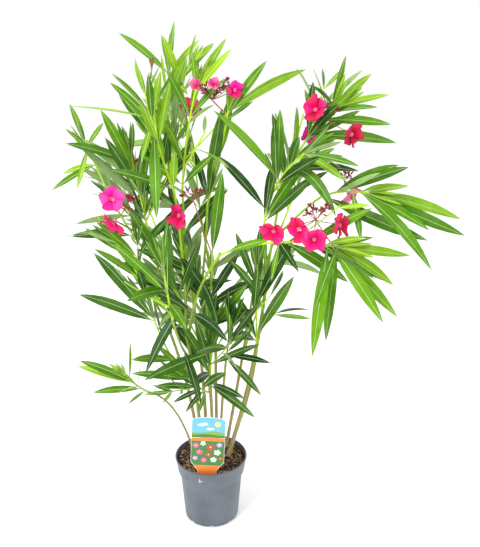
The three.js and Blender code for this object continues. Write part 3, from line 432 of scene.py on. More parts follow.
MASSES = (
    Mass(
        "leaves_low_left", "young", on="cane_low_left", at=0.97, tip=(-182, -78, 418),
        bow=(-4, 0, -8), radius=2.2, leaf=90, bare=0.35, turn=40, seed=11, twigs=0,
        edge=(
            (0.7, -270, -112, 468), (0.6, -287, -60, 428), (0.3, -245, -120, 396),
            (0.8, -172, -40, 478), (0.15, -176, -92, 352),
        ),
    ),
    Mass(
        "leaves_low_front_left", "mid", on="cane_low_front", at=0.9, tip=(-40, -92, 418),
        bow=(-4, -4, -8), radius=2.4, leaf=125, bare=0.3, turn=10, seed=12, spread=1.5, twigs=0,
        edge=(
            (0.5, -112, -122, 413), (0.4, -75, -124, 374), (0.3, -48, -128, 352),
            (0.2, -22, -126, 345), (0.9, -162, -112, 438), (0.95, -108, -100, 500),
        ),
    ),
    Mass(
        "leaves_low_front", "old", on="cane_low_front", at=0.99, tip=(4, -62, 470), bow=(4, 0, 0),
        radius=2.5, bare=0.25, turn=85, seed=13, spread=1.4, twigs=0,
        edge=(
            (0.3, -56, -92, 548), (0.5, -24, -102, 560), (0.9, -2, -74, 592),
            (0.9, -128, -152, 452), (0.1, 80, -110, 375), (0.05, 102, -116, 332),
            (0.6, 112, -66, 484),
        ),
    ),
    Mass(
        "leaves_low_right", "old", on="cane_short", at=0.98, tip=(52, -52, 520), bow=(-3, 0, 0),
        radius=2.4, leaf=155, bare=0.3, turn=20, seed=14, spread=1.3, twigs=0,
        edge=(
            (0.2, 135, -92, 452), (0.1, 115, -112, 384), (0.3, 92, -112, 540),
            (0.8, 44, -70, 612),
        ),
    ),
    Mass(
        "leaves_left_low", "old", on="cane_left", at=0.62, tip=(-116, -62, 546), bow=(-8, 0, -18),
        radius=2.4, leaf=160, bare=0.25, turn=70, seed=36, spread=1.2, twigs=0,
        edge=((0.95, -262, -104, 616), (0.3, -160, -112, 470), (0.98, -230, -84, 700)),
    ),
    Mass(
        "leaves_left", "mid", on="bough_left", at=0.98, tip=(-186, -74, 724), bow=(4, 0, -4),
        radius=2.2, leaf=150, bare=0.1, turn=30, seed=15, twigs=0,
        edge=((0.7, -245, -82, 752), (0.06, -232, -66, 702), (0.9, -295, -44, 718, 0.3, 50)),
    ),
    Mass(
        "leaves_left_up", "old", on="bough_left_up", at=0.98, tip=(-156, -12, 892), bow=(4, 4, 0),
        bare=0.1, turn=75, seed=16,
        edge=(
            (0.8, -206, -20, 982), (0.6, -196, -62, 932), (0.6, -206, 34, 842),
            (0.9, -274, -62, 920),
        ),
    ),
    Mass(
        "leaves_far_left", "young", on="bough_far_left", at=0.98, tip=(-246, -16, 912),
        bow=(2, 0, 0), radius=2.1, leaf=105, bare=0.45, turn=20, seed=17, twigs=0,
        edge=(
            (0.95, -268, -28, 992), (0.9, -200, -42, 958), (0.85, -258, -60, 828),
            (0.5, -314, -42, 820), (0.5, -306, 34, 836),
        ),
    ),
    Mass(
        "leaves_front", "old", on="bough_main", at=0.2, tip=(-142, -112, 792), bow=(10, -6, -34),
        radius=2.2, leaf=130, bare=1, turn=0, seed=18, twigs=0,
        edge=(
            (0.12, -150, -118, 812), (0.1, -160, -134, 722), (0.04, -130, -130, 446, 0.15),
            (0.2, -6, -142, 752), (0.16, -96, -158, 560),
        ),
        bloom=Bloom(head=(-158, -114, 800), opened=((-178, -130, 826), (-178, -132, 776)), buds=6),
    ),
    Mass(
        "leaves_top_left", "young", on="bough_main", at=0.98, tip=(-112, -76, 1022),
        bow=(-8, 0, 0), radius=2.4, leaf=150, turn=60, seed=19,
        edge=(
            (0.8, -176, -60, 1054), (0.75, -254, -100, 998, 0.04, 62), (0.62, -92, -142, 790),
            (0.7, -118, -132, 900),
        ),
        bloom=Bloom(head=(-96, -92, 1062), opened=(), buds=3),
    ),
    Mass(
        "leaves_top", "young", on="bough_top", at=0.98, tip=(-70, 18, 1062), bow=(-6, 0, 0),
        leaf=145, turn=15, seed=20,
        edge=(
            (0.95, -60, 18, 1146), (0.9, -172, 32, 1122), (0.9, -32, -48, 1012),
            (0.9, -12, 58, 1108), (0.7, -84, -14, 1086),
        ),
    ),
    Mass(
        "leaves_top_middle", "young", on="bough_top_middle", at=0.98, tip=(-16, -40, 1026),
        bow=(-10, 0, 0), radius=2.4, leaf=150, turn=45, seed=21,
        edge=((0.95, 54, -66, 1100), (0.95, 42, 2, 1114), (0.9, 24, 22, 1094)),
    ),
    Mass(
        "leaves_blossom", "mid", on="bough_blossom", at=0.98, tip=(46, -44, 982), bow=(6, 0, 0),
        leaf=150, turn=80, seed=22,
        edge=(
            (0.96, 120, -62, 1078), (0.98, 196, -62, 1060, 0.12, 50), (0.9, 95, -20, 996),
            (0.06, 34, -68, 990),
        ),
        bloom=Bloom(
            head=(14, -40, 1002), opened=((-12, -62, 1028), (22, -76, 1032), (60, -64, 1024)),
            buds=14,
        ),
    ),
    Mass(
        "leaves_right", "old", on="bough_right", at=0.98, tip=(204, -62, 906), bow=(-34, 0, 22),
        turn=50, seed=23,
        edge=(
            (0.53, 147, -52, 986), (0.55, 18, -62, 987), (0.18, 24, -62, 896),
            (0.95, 272, -138, 862), (0.95, 300, -104, 884), (0.05, 190, -92, 660),
            (0.06, 212, -104, 862), (0.15, 138, -72, 858), (0.1, 205, -70, 897),
            (0.7, 252, -130, 800, 0.4),
        ),
    ),
    Mass(
        "leaves_right_top", "mid", on="bough_right_up", at=0.98, tip=(262, 8, 984),
        bow=(-18, 0, 10), radius=2.4, leaf=150, bare=0.2, turn=25, seed=24, twigs=0,
        edge=(
            (0.12, 270, -70, 872, 0.4), (0.2, 264, -40, 858, 0.35), (0.3, 182, -20, 986),
            (0.98, 199, -40, 1030, 0.25), (0.95, 204, -60, 1004), (0.5, 298, -14, 1026),
            (0.95, 280, 20, 1080), (0.7, 196, -22, 1020), (0.9, 218, 52, 1052, 0.06, 65),
            (0.95, 370, 10, 1004), (0.9, 336, -62, 990), (0.95, 342, 72, 1038, 0.06, 65),
            (0.8, 372, -22, 950), (0.6, 396, 32, 902),
        ),
        bloom=Bloom(head=(236, -22, 964), opened=((216, -44, 984), (292, -46, 934)), buds=5),
    ),
    Mass(
        "leaves_right_out", "mid", on="bough_right_out", at=0.98, tip=(324, -80, 824),
        bow=(-6, 0, 14), radius=2.4, leaf=160, bare=0.3, turn=70, seed=25, twigs=0,
        edge=(
            (0.9, 514, -120, 748, 0), (0.9, 436, -150, 768), (0.95, 520, -62, 764),
            (0.85, 434, -200, 704, 0.14), (0.06, 438, -120, 743, -0.03), (0.7, 306, -138, 742),
            (0.85, 430, 20, 812), (0.3, 402, 22, 858),
        ),
        bloom=Bloom(head=(282, -28, 836), opened=((292, -44, 806),), buds=4),
    ),
    Mass(
        "leaves_right_front", "young", on="bough_arch", at=0.98, tip=(262, -152, 735),
        bow=(-24, -10, 40), radius=2.6, bare=0.75, turn=35, seed=26, twigs=0,
        edge=(
            (0.08, 122, -176, 762), (0.95, 404, -142, 714, 0), (0.98, 382, -108, 638),
            (0.95, 342, -232, 610), (0.9, 376, -196, 606), (0.92, 211, -212, 528),
            (0.98, 242, -164, 538), (0.9, 306, -202, 770), (0.85, 385, -84, 632),
            (0.99, 210, -236, 638, 0.1), (0.6, 292, -92, 638), (0.55, 131, -150, 664),
        ),
        bloom=Bloom(
            head=(214, -156, 792),
            opened=((131, -182, 776), (178, -194, 784), (208, -200, 766), (264, -152, 778)),
            buds=9,
        ),
    ),
    Mass(
        "leaves_right_low", "mid", on="cane_thin_right", at=0.98, tip=(146, -6, 532),
        bow=(-4, 0, 8), radius=2, leaf=100, bare=0.4, turn=0, seed=27, twigs=0,
        edge=((0.95, 222, -38, 552, 0.2, 60), (0.9, 230, 36, 498, 0.06, 55)),
    ),
    Mass(
        "leaves_middle", "old", on="cane_middle", at=0.8, tip=(10, -46, 690), bow=(10, 0, -14),
        bare=0.2, turn=100, seed=28,
        edge=((0.97, 34, -64, 862), (0.3, 66, -86, 700), (0.35, -50, -112, 700)),
        bloom=Bloom(head=(-24, -72, 806), opened=((-54, -98, 782),), buds=5),
    ),
    Mass(
        "leaves_middle_low", "old", on="cane_middle", at=0.5, tip=(12, -30, 520), bow=(4, 0, -14),
        bare=0.3, turn=40, seed=37, twigs=0,
        edge=((0.9, 84, -72, 624), (0.7, -10, -84, 640)),
    ),
    Mass(
        "leaves_right_inner", "old", on="cane_right", at=0.62, tip=(104, -48, 660),
        bow=(0, -10, -12), bare=0.1, turn=0, seed=29,
        edge=((0.2, 182, -62, 640), (0.8, 60, -72, 740), (0.6, 180, -72, 730)),
    ),
    Mass(
        "leaves_front_middle", "mid", on="bough_front", at=0.98, tip=(-76, -212, 718),
        bow=(0, -10, 0), leaf=150, bare=0.1, turn=25, seed=38,
        edge=((0.85, -64, -352, 776), (0.6, -128, -338, 700), (0.35, -26, -326, 640)),
    ),
    Mass(
        "leaves_back_top", "mid", on="bough_back_top", at=0.98, tip=(-46, 176, 904),
        bow=(4, 6, 0), turn=55, seed=30,
        bloom=Bloom(head=(-52, 190, 932), opened=((-44, 216, 944),), buds=5),
    ),
    Mass(
        "leaves_top_back", "young", on="bough_top", at=0.72, tip=(-66, 104, 1010),
        bow=(0, 14, -10), leaf=150, bare=0.1, turn=35, seed=39, twigs=0,
    ),
    Mass(
        "leaves_right_back", "mid", on="bough_right_up", at=0.7, tip=(206, 118, 946),
        bow=(0, 14, -10), leaf=155, bare=0.1, turn=65, seed=40,
    ),
    Mass(
        "leaves_back_left", "mid", on="bough_back_left", at=0.98, tip=(-180, 250, 770),
        bow=(0, 8, -6), turn=15, seed=31,
        bloom=Bloom(head=(-190, 258, 796), opened=((-208, 278, 804),), buds=4),
    ),
    Mass(
        "leaves_back_right", "mid", on="bough_back_right", at=0.98, tip=(232, 240, 830),
        bow=(0, 8, -6), turn=85, seed=32,
        bloom=Bloom(head=(242, 252, 858), opened=((238, 276, 872),), buds=4),
    ),
    Mass(
        "leaves_back_low", "old", on="cane_back", at=0.6, tip=(0, 224, 530), bow=(0, 14, -24),
        radius=2.4, bare=0.2, turn=40, seed=33, spread=1.2,
    ),
    Mass(
        "leaves_back_low_left", "old", on="cane_back_left", at=0.55, tip=(-118, 142, 600),
        bow=(0, 12, -20), radius=2.4, leaf=160, bare=0.2, turn=10, seed=34, spread=1.1,
    ),
    Mass(
        "leaves_back_low_right", "old", on="cane_back_right", at=0.62, tip=(132, 172, 545),
        bow=(0, 12, -20), leaf=150, bare=0.25, turn=70, seed=35, spread=1.1,
    ),
)


def curve_between(foot, tip, bow):
    return Curve(foot, (foot + tip) / 2 + bow, tip)


@dataclass
class Curve:
    """A quadratic curve from a foot to a tip."""

    foot: Vector
    control: Vector
    tip: Vector

    def point(self, share):
        rest = 1 - share
        start = self.foot * rest * rest
        return start + self.control * (2 * rest * share) + self.tip * share * share

    def tangent(self, share):
        way = (self.control - self.foot) * (1 - share) + (self.tip - self.control) * share
        return way.normalized()

    def length(self, parts=24):
        points = [self.point(i / parts) for i in range(parts + 1)]
        return sum((b - a).length for a, b in zip(points, points[1:]))


class Draws:
    """One Lehmer run of numbers between 0 and 1."""

    def __init__(self, seed):
        self.state = seed * SEED_STEP

    def next(self):
        self.state = self.state * LEHMER_FACTOR % LEHMER_PRIME
        return self.state / LEHMER_PRIME

    def scatter(self, span):
        return span * (self.next() - 0.5)

    def between(self, low, high):
        return low + (high - low) * self.next()


def lerp(a, b, share):
    return a + (b - a) * share


def on_circle(radius, bearing):
    return radius * math.cos(bearing), radius * math.sin(bearing)


def cross_frame(tangent):
    """Two directions square to the tangent, which turn little along a limb."""
    other = SIDEWAYS.cross(tangent).normalized()
    return tangent.cross(other), other


def spoke(frame, bearing):
    """The way out from a limb's axis at this bearing in its cross frame."""
    side, other = frame
    return side * math.sin(bearing) + other * math.cos(bearing)


def turned(vector, axis, degrees):
    return Quaternion(axis, math.radians(degrees)) @ vector


@dataclass
class Stem:
    """A limb, stem or twig: a curve and its radii at foot and tip."""

    curve: Curve
    radii: tuple

    def radius(self, share):
        return lerp(*self.radii, share)

    def root(self, share, direction):
        """The point just under the skin on the side that faces this direction."""
        axis = self.curve.tangent(share)
        outwards = (direction - axis * direction.dot(axis)).normalized()
        return self.curve.point(share) + outwards * (self.radius(share) * LEAF_ROOT_AT)

    def direction(self, share, bearing, angle):
        """A direction by its bearing round the stem and its angle to it, in degrees."""
        axis = self.curve.tangent(share)
        outwards = turned(UP.cross(axis).normalized(), axis, bearing)
        lean = math.radians(angle)
        return axis * math.cos(lean) + outwards * math.sin(lean)


@dataclass
class Blade:
    """One leaf: its midrib, the side its upper face turns to, its length, and its look."""

    curve: Curve
    facing: Vector
    length: float
    tone: float
    fold: float
    twist: float
    points: list = field(default_factory=list)
    marks: list = field(default_factory=list)

    def shape(self, settings):
        """Six points to a station, edge, rib, rib, edge and the rib again below, then the tip."""
        across = self.facing.cross(self.curve.tangent(0)).normalized()
        widest = min(settings.widest / MM, self.length * settings.width_share) / 2
        for share, span in zip(LEAF_STATIONS, LEAF_SPANS):
            tangent = self.curve.tangent(share)
            middle = self.curve.point(share)
            flat = (across - tangent * across.dot(tangent)).normalized()
            side = turned(flat, tangent, self.twist * share)
            above = tangent.cross(side)
            rib = lerp(RIB_ROOT, RIB_TIP, share)
            half = max(widest * span, rib + BLADE_LEAST)
            fold = math.radians(self.fold * (FOLD_ROOT - FOLD_LOSS * share))
            out = side * (half * math.cos(fold))
            lift = above * (half * math.sin(fold))
            keel = above * -rib
            self.points += [
                middle - out + lift,
                middle - side * rib,
                middle + side * rib,
                middle + out + lift,
                middle + side * rib + keel,
                middle - side * rib + keel,
            ]
            along = share * self.length
            outer = (half / MARK, (along + VEIN_SLANT * half) / MARK)
            inner = (rib / MARK, (along + VEIN_SLANT * rib) / MARK)
            mirrored = (-inner[0], inner[1])
            self.marks += [(-outer[0], outer[1]), mirrored, inner, outer, inner, mirrored]
        self.points.append(self.curve.tip.copy())
        self.marks.append((0, self.length / MARK))
        return self

    def skin(self):
        """The upper face beyond the root, for the tests of room and sky."""
        first = next(i for i, share in enumerate(LEAF_STATIONS) if share > BLADE_FREE_FROM)
        points = self.points[first * LEAF_RING :]
        upper = range(LEAF_RING // 2)
        faces = []
        for start in range(0, len(points) - LEAF_RING - 1, LEAF_RING):
            for k in upper:
                a, b = start + k, start + k + 1
                faces.append((a, b, b + LEAF_RING, a + LEAF_RING))
        last = len(points) - 1
        faces += [(last - LEAF_RING + k, last - LEAF_RING + k + 1, last) for k in upper]
        return points, faces


class Room:
    """The skins placed so far, to find out whether a new blade would pass through one."""

    def __init__(self, most=6000):
        self.lows = np.zeros((most, 3))
        self.highs = np.zeros((most, 3))
        self.trees = []

    def add(self, points, faces):
        corners = np.array([tuple(p) for p in points])
        self.lows[len(self.trees)] = corners.min(axis=0)
        self.highs[len(self.trees)] = corners.max(axis=0)
        self.trees.append(BVHTree.FromPolygons(points, faces))

    def is_clear(self, points, faces):
        corners = np.array([tuple(p) for p in points])
        low, high = corners.min(axis=0), corners.max(axis=0)
        count = len(self.trees)
        meets = (self.lows[:count] <= high) & (self.highs[:count] >= low)
        near = np.nonzero(meets.all(axis=1))[0]
        if not len(near):
            return True
        tree = BVHTree.FromPolygons(points, faces)
        return not any(self.trees[i].overlap(tree) for i in near)


def outside_reach(points):
    """Whether any of these points hangs down to the pot or passes the reach of the solids."""
    for point in points:
        if point.z < LEAF_LOWEST:
            return True
        for value, low, high in zip(point, *CAD_BOX):
            if not low / MM - REACH_SLACK < value < high / MM + REACH_SLACK:
                return True
    return False


def seen_at(point):
    """Where the line from the camera through this point meets the plane of the sky windows."""
    way = point - CAMERA_AT
    return CAMERA_AT + way * ((SKY_Y - CAMERA_AT.y) / way.y)


def in_sky(points):
    """Whether the camera sees any of these points in a window of open sky."""
    for point in points:
        seen = seen_at(point)
        if any(left < seen.x < right and low < seen.z < high for left, right, low, high in SKY):
            return True
    return False


@dataclass
class Stance:
    """How far up its shoot a leaf or whorl is, where on the stem it springs, and how it stands."""

    rise: float
    share: float
    turn: float
    angle: float
    size: float
    droop: float


@dataclass
class Flower:
    """A flower: its middle, the way it faces, its run of draws, its size and its looks."""

    middle: Vector
    facing: Vector
    seed: int
    size: float
    half_open: bool
    pale: bool
    hue: int


class Growth:
    """Every limb, shoot, leaf, flower and bud of the plant."""

    def __init__(self):
        self.settings = bpy.context.scene.oleander_leaves
        self.limbs = {}
        self.shoots = []
        self.stems = {}
        self.leaves = {"old": [], "mid": [], "young": []}
        self.stalks = []
        self.closed_stalks = []
        self.flowers = []
        self.buds = []
        self.room = Room()
        self.shown = []
        for row in LIMBS:
            self.grow_limb(row, row.radii, self.limbs)
        for row in MASSES:
            stem = self.grow_limb(row, (row.radius, row.radius * STEM_TAPER), self.stems)
            self.shoots.append(stem)
        for name in SHOWN_STEMS:
            stem = self.limbs.get(name) or self.stems[name]
            for step in range(SHOWN_STEPS + 1):
                self.show(stem.curve.point(step / SHOWN_STEPS))
        for row in MASSES:
            if row.bloom:
                self.add_bloom(row)
        for row in MASSES:
            self.add_edge_leaves(row)
        for row in MASSES:
            self.add_shoot_leaves(row)
        for number, row in enumerate(LIMBS):
            self.add_limb_leaves(row, number)

    def show(self, point):
        """Marks a point that no leaf may hide from the camera."""
        seen = seen_at(point)
        self.shown.append((seen.x, seen.z, point.y))

    def grow_limb(self, row, radii, kept):
        if row.on:
            foot = self.limbs[row.on].curve.point(row.at)
        else:
            foot = Vector((*row.foot, SOIL_TOP - CANE_SUNK))
        stem = Stem(curve_between(foot, Vector(row.tip), Vector(row.bow)), radii)
        kept[row.name] = stem
        steps = max(2, round(stem.curve.length() / LIMB_SKIN_STEP))
        self.room.add(*tube_skin(stem, LIMB_SKIN_SIDES, steps))
        return stem

    def keep(self, age, blade, on_outline=False):
        """Keeps a blade where it hangs clear of the pot, the sky and what is already there."""
        blade.shape(self.settings)
        points, faces = blade.skin()
        if outside_reach(points):
            return False
        if not on_outline and (in_sky(points) or self.hides_shown(blade)):
            return False
        if not self.room.is_clear(points, faces):
            return False
        self.room.add(points, faces)
        self.leaves[age].append(blade)
        return True

    def hides_shown(self, blade):
        """Whether the camera sees this leaf before a stem or flower that shows in the crown."""
        for step in range(SHOWN_FROM, SHOWN_STEPS):
            point = blade.curve.point(step / SHOWN_STEPS)
            seen = seen_at(point)
            for x, z, depth in self.shown:
                near = abs(seen.x - x) < SHOWN_ROOM and abs(seen.z - z) < SHOWN_ROOM
                if near and point.y < depth:
                    return True
        return False

    def tone(self, age, rise, root, random):
        """A leaf's tone, lighter near a shoot's end and high up, and painted lighter low on the
        left, as painted sunlight.
        """
        base, spread = TONES[age]
        step = base + TONE_RISE * rise + random.scatter(spread)
        # Painted light: low leaves on the left are painted lighter, as if out of the crown's shade.
        if root.x < PAINTED_SUN_LEFT_OF and root.z < TONE_LOWEST:
            step += PAINTED_SUN_TONE
        return step + (max(root.z, TONE_LOWEST) - TONE_LEVEL) / TONE_STEP

    def add_leaf(self, age, stem, leaf, face_turn, random):
        """Tries a leaf as it is and then turned, and leaves it out where it finds no room."""
        tone = self.tone(age, leaf.rise, stem.curve.point(leaf.share), random)
        fold = LEAF_FOLD * (1 + random.scatter(FOLD_SCATTER))
        twist = random.scatter(LEAF_TWIST)
        for turn in LEAF_TRIES:
            direction = stem.direction(leaf.share, leaf.turn + turn, leaf.angle)
            root = stem.root(leaf.share, direction)
            tip = root + direction * leaf.size - UP * (leaf.size * leaf.droop)
            curve = Curve(root, root + direction * (leaf.size / 2), tip)
            facing = blade_facing(root, face_turn)
            if self.keep(age, Blade(curve, facing, leaf.size, tone, fold, twist)):
                return

    def add_whorl(self, age, stem, whorl, random, looks):
        for k in range(LEAVES_IN_WHORL):
            leaf = Stance(
                whorl.rise,
                whorl.share,
                whorl.turn + 360 / LEAVES_IN_WHORL * k + random.scatter(BEARING_SCATTER),
                whorl.angle + random.scatter(ANGLE_SCATTER),
                whorl.size * (1 + random.scatter(SIZE_SCATTER)),
                whorl.droop * (1 + random.scatter(DROOP_SCATTER)),
            )
            self.add_leaf(age, stem, leaf, random.scatter(FACE_SPREAD), looks)

    def add_whorls(self, age, stem, rule, seed, random=None):
        """The source's whorls, the finer ones between them, and the young leaves at the end."""
        length = stem.curve.length() * (1 - rule["bare"])
        whorls = max(1, round(length / WHORL_STEP)) if rule["bare"] < 1 else 0
        if not whorls:
            return
        looks = Draws(seed + FINER_LOOKS_RUN)
        finer = Draws(seed + FINER_RUN)
        random = random or Draws(seed)
        opened = LOW_LEAF_ANGLE * rule["spread"]

        def whorl_at(rise, turn, run):
            gain = MIDDLE_LEAF_GAIN * math.sin(math.pi * rise)
            whorl = Stance(
                rise,
                lerp(rule["bare"], LAST_WHORL, rise),
                turn,
                lerp(opened, TOP_LEAF_ANGLE, rise),
                rule["leaf"] * (LOW_LEAF_SIZE + gain - TOP_LEAF_LOSS * rise**2),
                LEAF_DROOP * (1 - TOP_DROOP_LOSS * rise),
            )
            self.add_whorl(age, stem, whorl, run, looks)

        for number in range(whorls):
            rise = number / (whorls - 1) if whorls > 1 else 1
            whorl_at(rise, rule["turn"] + WHORL_TURN * number, random)
        for gap in range(max(1, whorls - 1)):
            rise = (gap + 0.5) / (whorls - 1) if whorls > 1 else LONE_WHORL_RISE
            whorl_at(rise, rule["turn"] + FINER_TURN + WHORL_TURN * gap, finer)
        size, turn = rule["leaf"] * APEX_SIZE, rule["turn"] + FINER_TURN
        apex = Stance(APEX_RISE, APEX_SHARE, turn, APEX_ANGLE, size, APEX_DROOP)
        self.add_whorl(age, stem, apex, Draws(seed + APEX_RUN), looks)

    def add_shoot_leaves(self, row):
        stem = self.stems[row.name]
        rule = {"bare": row.bare, "turn": row.turn, "leaf": row.leaf, "spread": row.spread}
        self.add_whorls(row.age, stem, rule, row.seed)
        for number in range(row.twigs + FINER_TWIGS):
            self.add_twig(row, stem, number)

    def add_twig(self, row, stem, number):
        run = row.seed + TWIG_RUN + number
        random = Draws(run)
        of_source = number < row.twigs
        place = (number + random.next()) / row.twigs if of_source else random.next()
        share = lerp(min(row.bare, FINER_TWIG_FROM), 1, TWIG_FIRST + TWIG_REACH * place)
        size = row.leaf * (TWIG_SHORTEST + TWIG_LONGER * random.next())
        direction = stem.direction(share, 360 * random.next(), TWIG_ANGLE)
        root = stem.root(share, direction)
        tip = root + direction * size + UP * (size * TWIG_RISE)
        curve = Curve(root, root + direction * (size / 2), tip)
        radius = TWIG_RADIUS if of_source else TWIG_RADIUS * FINER_TWIG_SIZE
        twig = Stem(curve, (radius, radius * TWIG_TAPER))
        points, faces = tube_skin(twig, **TWIG_SKIN)
        if tip.z < LEAF_LOWEST or in_sky([tip]) or not self.room.is_clear(points, faces):
            return
        self.room.add(points, faces)
        self.shoots.append(twig)
        leaf = row.leaf * TWIG_LEAF
        rule = {"bare": TWIG_BARE, "turn": 360 * random.next(), "leaf": leaf, "spread": 1}
        self.add_whorls(row.age, twig, rule, run, random)

    def add_edge_leaves(self, row):
        """The leaves that make the crown's outline, each from its stem to its own tip."""
        random = Draws(row.seed + EDGE_RUN)
        looks = Draws(row.seed + EDGE_RUN + LOOKS_RUN)
        stem = self.stems[row.name]
        for number, (share, x, y, z, *form) in enumerate(row.edge):
            arched, rolled = form + [EDGE_ARCH, 0][len(form) :]
            turn, step = EDGE_LOOKS.get((row.name, number), (0, 0))
            facing = turned(EDGE_FACING, UP, random.scatter(EDGE_FACE_SPREAD))
            fold = LEAF_FOLD * (1 + looks.scatter(FOLD_SCATTER))
            tone = self.tone(row.age, share, Vector((x, y, z)), looks) + step
            twist = looks.scatter(LEAF_TWIST / 2)
            for moved in EDGE_TRIES:
                tip = Vector((x, y + moved, z))
                direction = (tip - stem.curve.point(share)).normalized()
                root = stem.root(share, direction)
                curve = curve_between(root, tip, UP * ((tip - root).length * arched))
                upper = turned(facing, direction, rolled + turn)
                blade = Blade(curve, upper, curve.length(), tone, fold, twist)
                if self.keep(row.age, blade, on_outline=True):
                    break

    def add_limb_leaves(self, row, number):
        stem = self.limbs[row.name]
        length = stem.curve.length()
        random = Draws(LIMB_RUN + number)
        looks = Draws(LIMB_RUN + LOOKS_RUN + number)
        turn = 360 * random.next()
        for number in range(1, int(length / LIMB_WHORL_STEP)):
            share = number * LIMB_WHORL_STEP / length
            turn += WHORL_TURN
            if stem.curve.point(share).z < LIMB_LEAF_FROM_Z:
                continue
            whorl = Stance(0, share, turn, LIMB_LEAF_ANGLE, LIMB_LEAF_SIZE, LIMB_LEAF_DROOP)
            self.add_whorl("old", stem, whorl, random, looks)

    def add_bloom(self, row):
        """A flower head on its stalk, with its open flowers and its buds."""
        head = Vector(row.bloom.head)
        foot = self.stems[row.name].curve.point(STALK_AT)
        closed = not row.bloom.opened
        stalks = self.closed_stalks if closed else self.stalks
        stalks.append(Stem(curve_between(foot, head, UP * -STALK_SAG), HEAD_STALK))
        for number, place in enumerate(row.bloom.opened):
            self.add_opened(row, number, Vector(place), head)
        self.add_buds(row, head, closed, stalks)

    def add_opened(self, row, number, middle, head):
        half_open = number in HALF_OPEN.get(row.name, ())
        forward = HALF_OPEN_FORWARD if half_open else FLOWER_FORWARD
        facing = (middle - head).normalized()
        facing.y -= math.copysign(forward, CROWN_MIDDLE_Y - middle.y)
        size = SMALL_SIZE if number in SMALL.get(row.name, ()) else 1
        flower = Flower(
            middle=middle,
            facing=facing.normalized(),
            seed=row.seed * FLOWERS_ON_HEAD + number,
            size=HALF_OPEN_SIZE if half_open else size,
            half_open=half_open,
            pale=number in PALE.get(row.name, ()),
            hue=HUES.get((row.name, number)),
        )
        self.flowers.append(flower)
        self.show(middle)
        funnel = middle - flower.facing * FUNNEL_FOOT
        self.stalks.append(Stem(curve_between(head, funnel, UP * -STALK_SAG), FLOWER_STALK))
        self.room.add(*flower_skin(flower))

    def add_buds(self, row, head, closed, stalks):
        random = Draws(row.seed + BLOOM_RUN)
        looks = Draws(row.seed + BUD_RUN)
        longest = BUD_FORK_LEAST + BUD_FORK_GAIN * row.bloom.buds
        forks = CLOSED_FORK if closed else (BUD_FORK_LEAST, longest)
        rise = CLOSED_RISE if closed else BUD_RISE
        splay = CLOSED_SPLAY if closed else BUD_SPLAY
        for number in range(row.bloom.buds):
            bearing = math.tau * (number * BUD_TURN + random.next() * BUD_TURN_SCATTER)
            lift = BUD_LEAST_LIFT + BUD_LIFT_SCATTER * random.next()
            way = Vector((*on_circle(math.cos(lift), bearing), math.sin(lift)))
            way = (way + UP * rise).normalized()
            fork = head + way * (BUD_LENGTH * looks.between(*forks))
            stalks.append(Stem(curve_between(head, fork, UP * -FORK_SAG), FORK_STALK))
            for _ in range(BUDS_IN_GROUP):
                aside = Vector([looks.scatter(splay) for _ in range(3)])
                length = BUD_LENGTH * (CLOSED_BUD if closed else looks.between(*BUD_LENGTHS))
                self.buds.append((fork, (way + aside).normalized(), length, closed))


def blade_facing(root, face_turn):
    outwards = Vector((root.x * SIDEWAYS_SHARE, root.y - CROWN_MIDDLE_Y, 0)).normalized()
    outwards = turned(outwards, UP, face_turn)
    outwards.z = FACE_UP
    return outwards.normalized()


def tube_skin(stem, sides, steps, from_share=0):
    points = []
    for step in range(steps + 1):
        share = lerp(from_share, 1, step / steps)
        frame = cross_frame(stem.curve.tangent(share))
        middle = stem.curve.point(share)
        for k in range(sides):
            points.append(middle + spoke(frame, math.tau * k / sides) * stem.radius(share))
    faces = []
    for step in range(steps):
        for k in range(sides):
            a, b = step * sides + k, step * sides + (k + 1) % sides
            faces.append((a, b, b + sides, a + sides))
    return points, faces


@cache
def plant():
    return Growth()


class Draft:
    """The points, faces, finishes and pattern marks of one piece, in millimetres."""

    def __init__(self):
        self.points = []
        self.marks = []
        self.faces = []
        self.finishes = []

    def add(self, points, faces, finishes, marks=None):
        start = len(self.points)
        self.points += points
        self.marks += marks or [(p.x / MARK, p.z / MARK) for p in points]
        self.faces += [tuple(start + i for i in face) for face in faces]
        self.finishes += finishes if isinstance(finishes, list) else [finishes] * len(faces)

    def make(self, name, materials, sharp=50):
        mesh = bpy.data.meshes.new(name)
        mesh.from_pydata([tuple(p * MM) for p in self.points], [], self.faces)
        mesh.polygons.foreach_set("material_index", self.finishes)
        mesh.shade_smooth()
        mesh.set_sharp_from_angle(angle=math.radians(sharp))
        layer = mesh.uv_layers.new(name="pattern")
        corners = np.empty(len(mesh.loops), dtype=np.int32)
        mesh.loops.foreach_get("vertex_index", corners)
        layer.data.foreach_set("uv", np.array(self.marks, dtype=np.float32)[corners].ravel())
        for material in materials:
            mesh.materials.append(material)
        piece = bpy.data.objects.new(name, mesh)
        bpy.context.scene.collection.objects.link(piece)
        return piece


def settle(piece, nodes):
    """The piece rides on the plant's body and stands for these nodes, which it hides."""
    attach(piece, "root")
    if nodes:
        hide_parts(*nodes)


def nodes_named(start):
    return [name for name in NODES if name.startswith(start)]


def linear(code):
    """An sRGB hex colour as linear red, green and blue."""
    values = [int(code[i : i + 2], 16) / 255 for i in (1, 3, 5)]
    return [v / 12.92 if v <= 0.04045 else ((v + 0.055) / 1.055) ** 2.4 for v in values]


def mixed(a, b, share):
    return [lerp(x, y, share) for x, y in zip(a, b)]


def add_node(tree, kind, settings=None, **links):
    """Adds a node: settings by attribute or input, links by input name, or by number as i0."""
    node = tree.nodes.new(f"ShaderNode{kind}")
    for key, value in (settings or {}).items():
        if isinstance(key, str) and hasattr(node, key):
            setattr(node, key, value)
        else:
            node.inputs[key].default_value = value
    for key, socket in links.items():
        name = int(key[1:]) if key[1:].isdigit() else key.replace("_", " ")
        tree.links.new(socket, node.inputs[name])
    return node


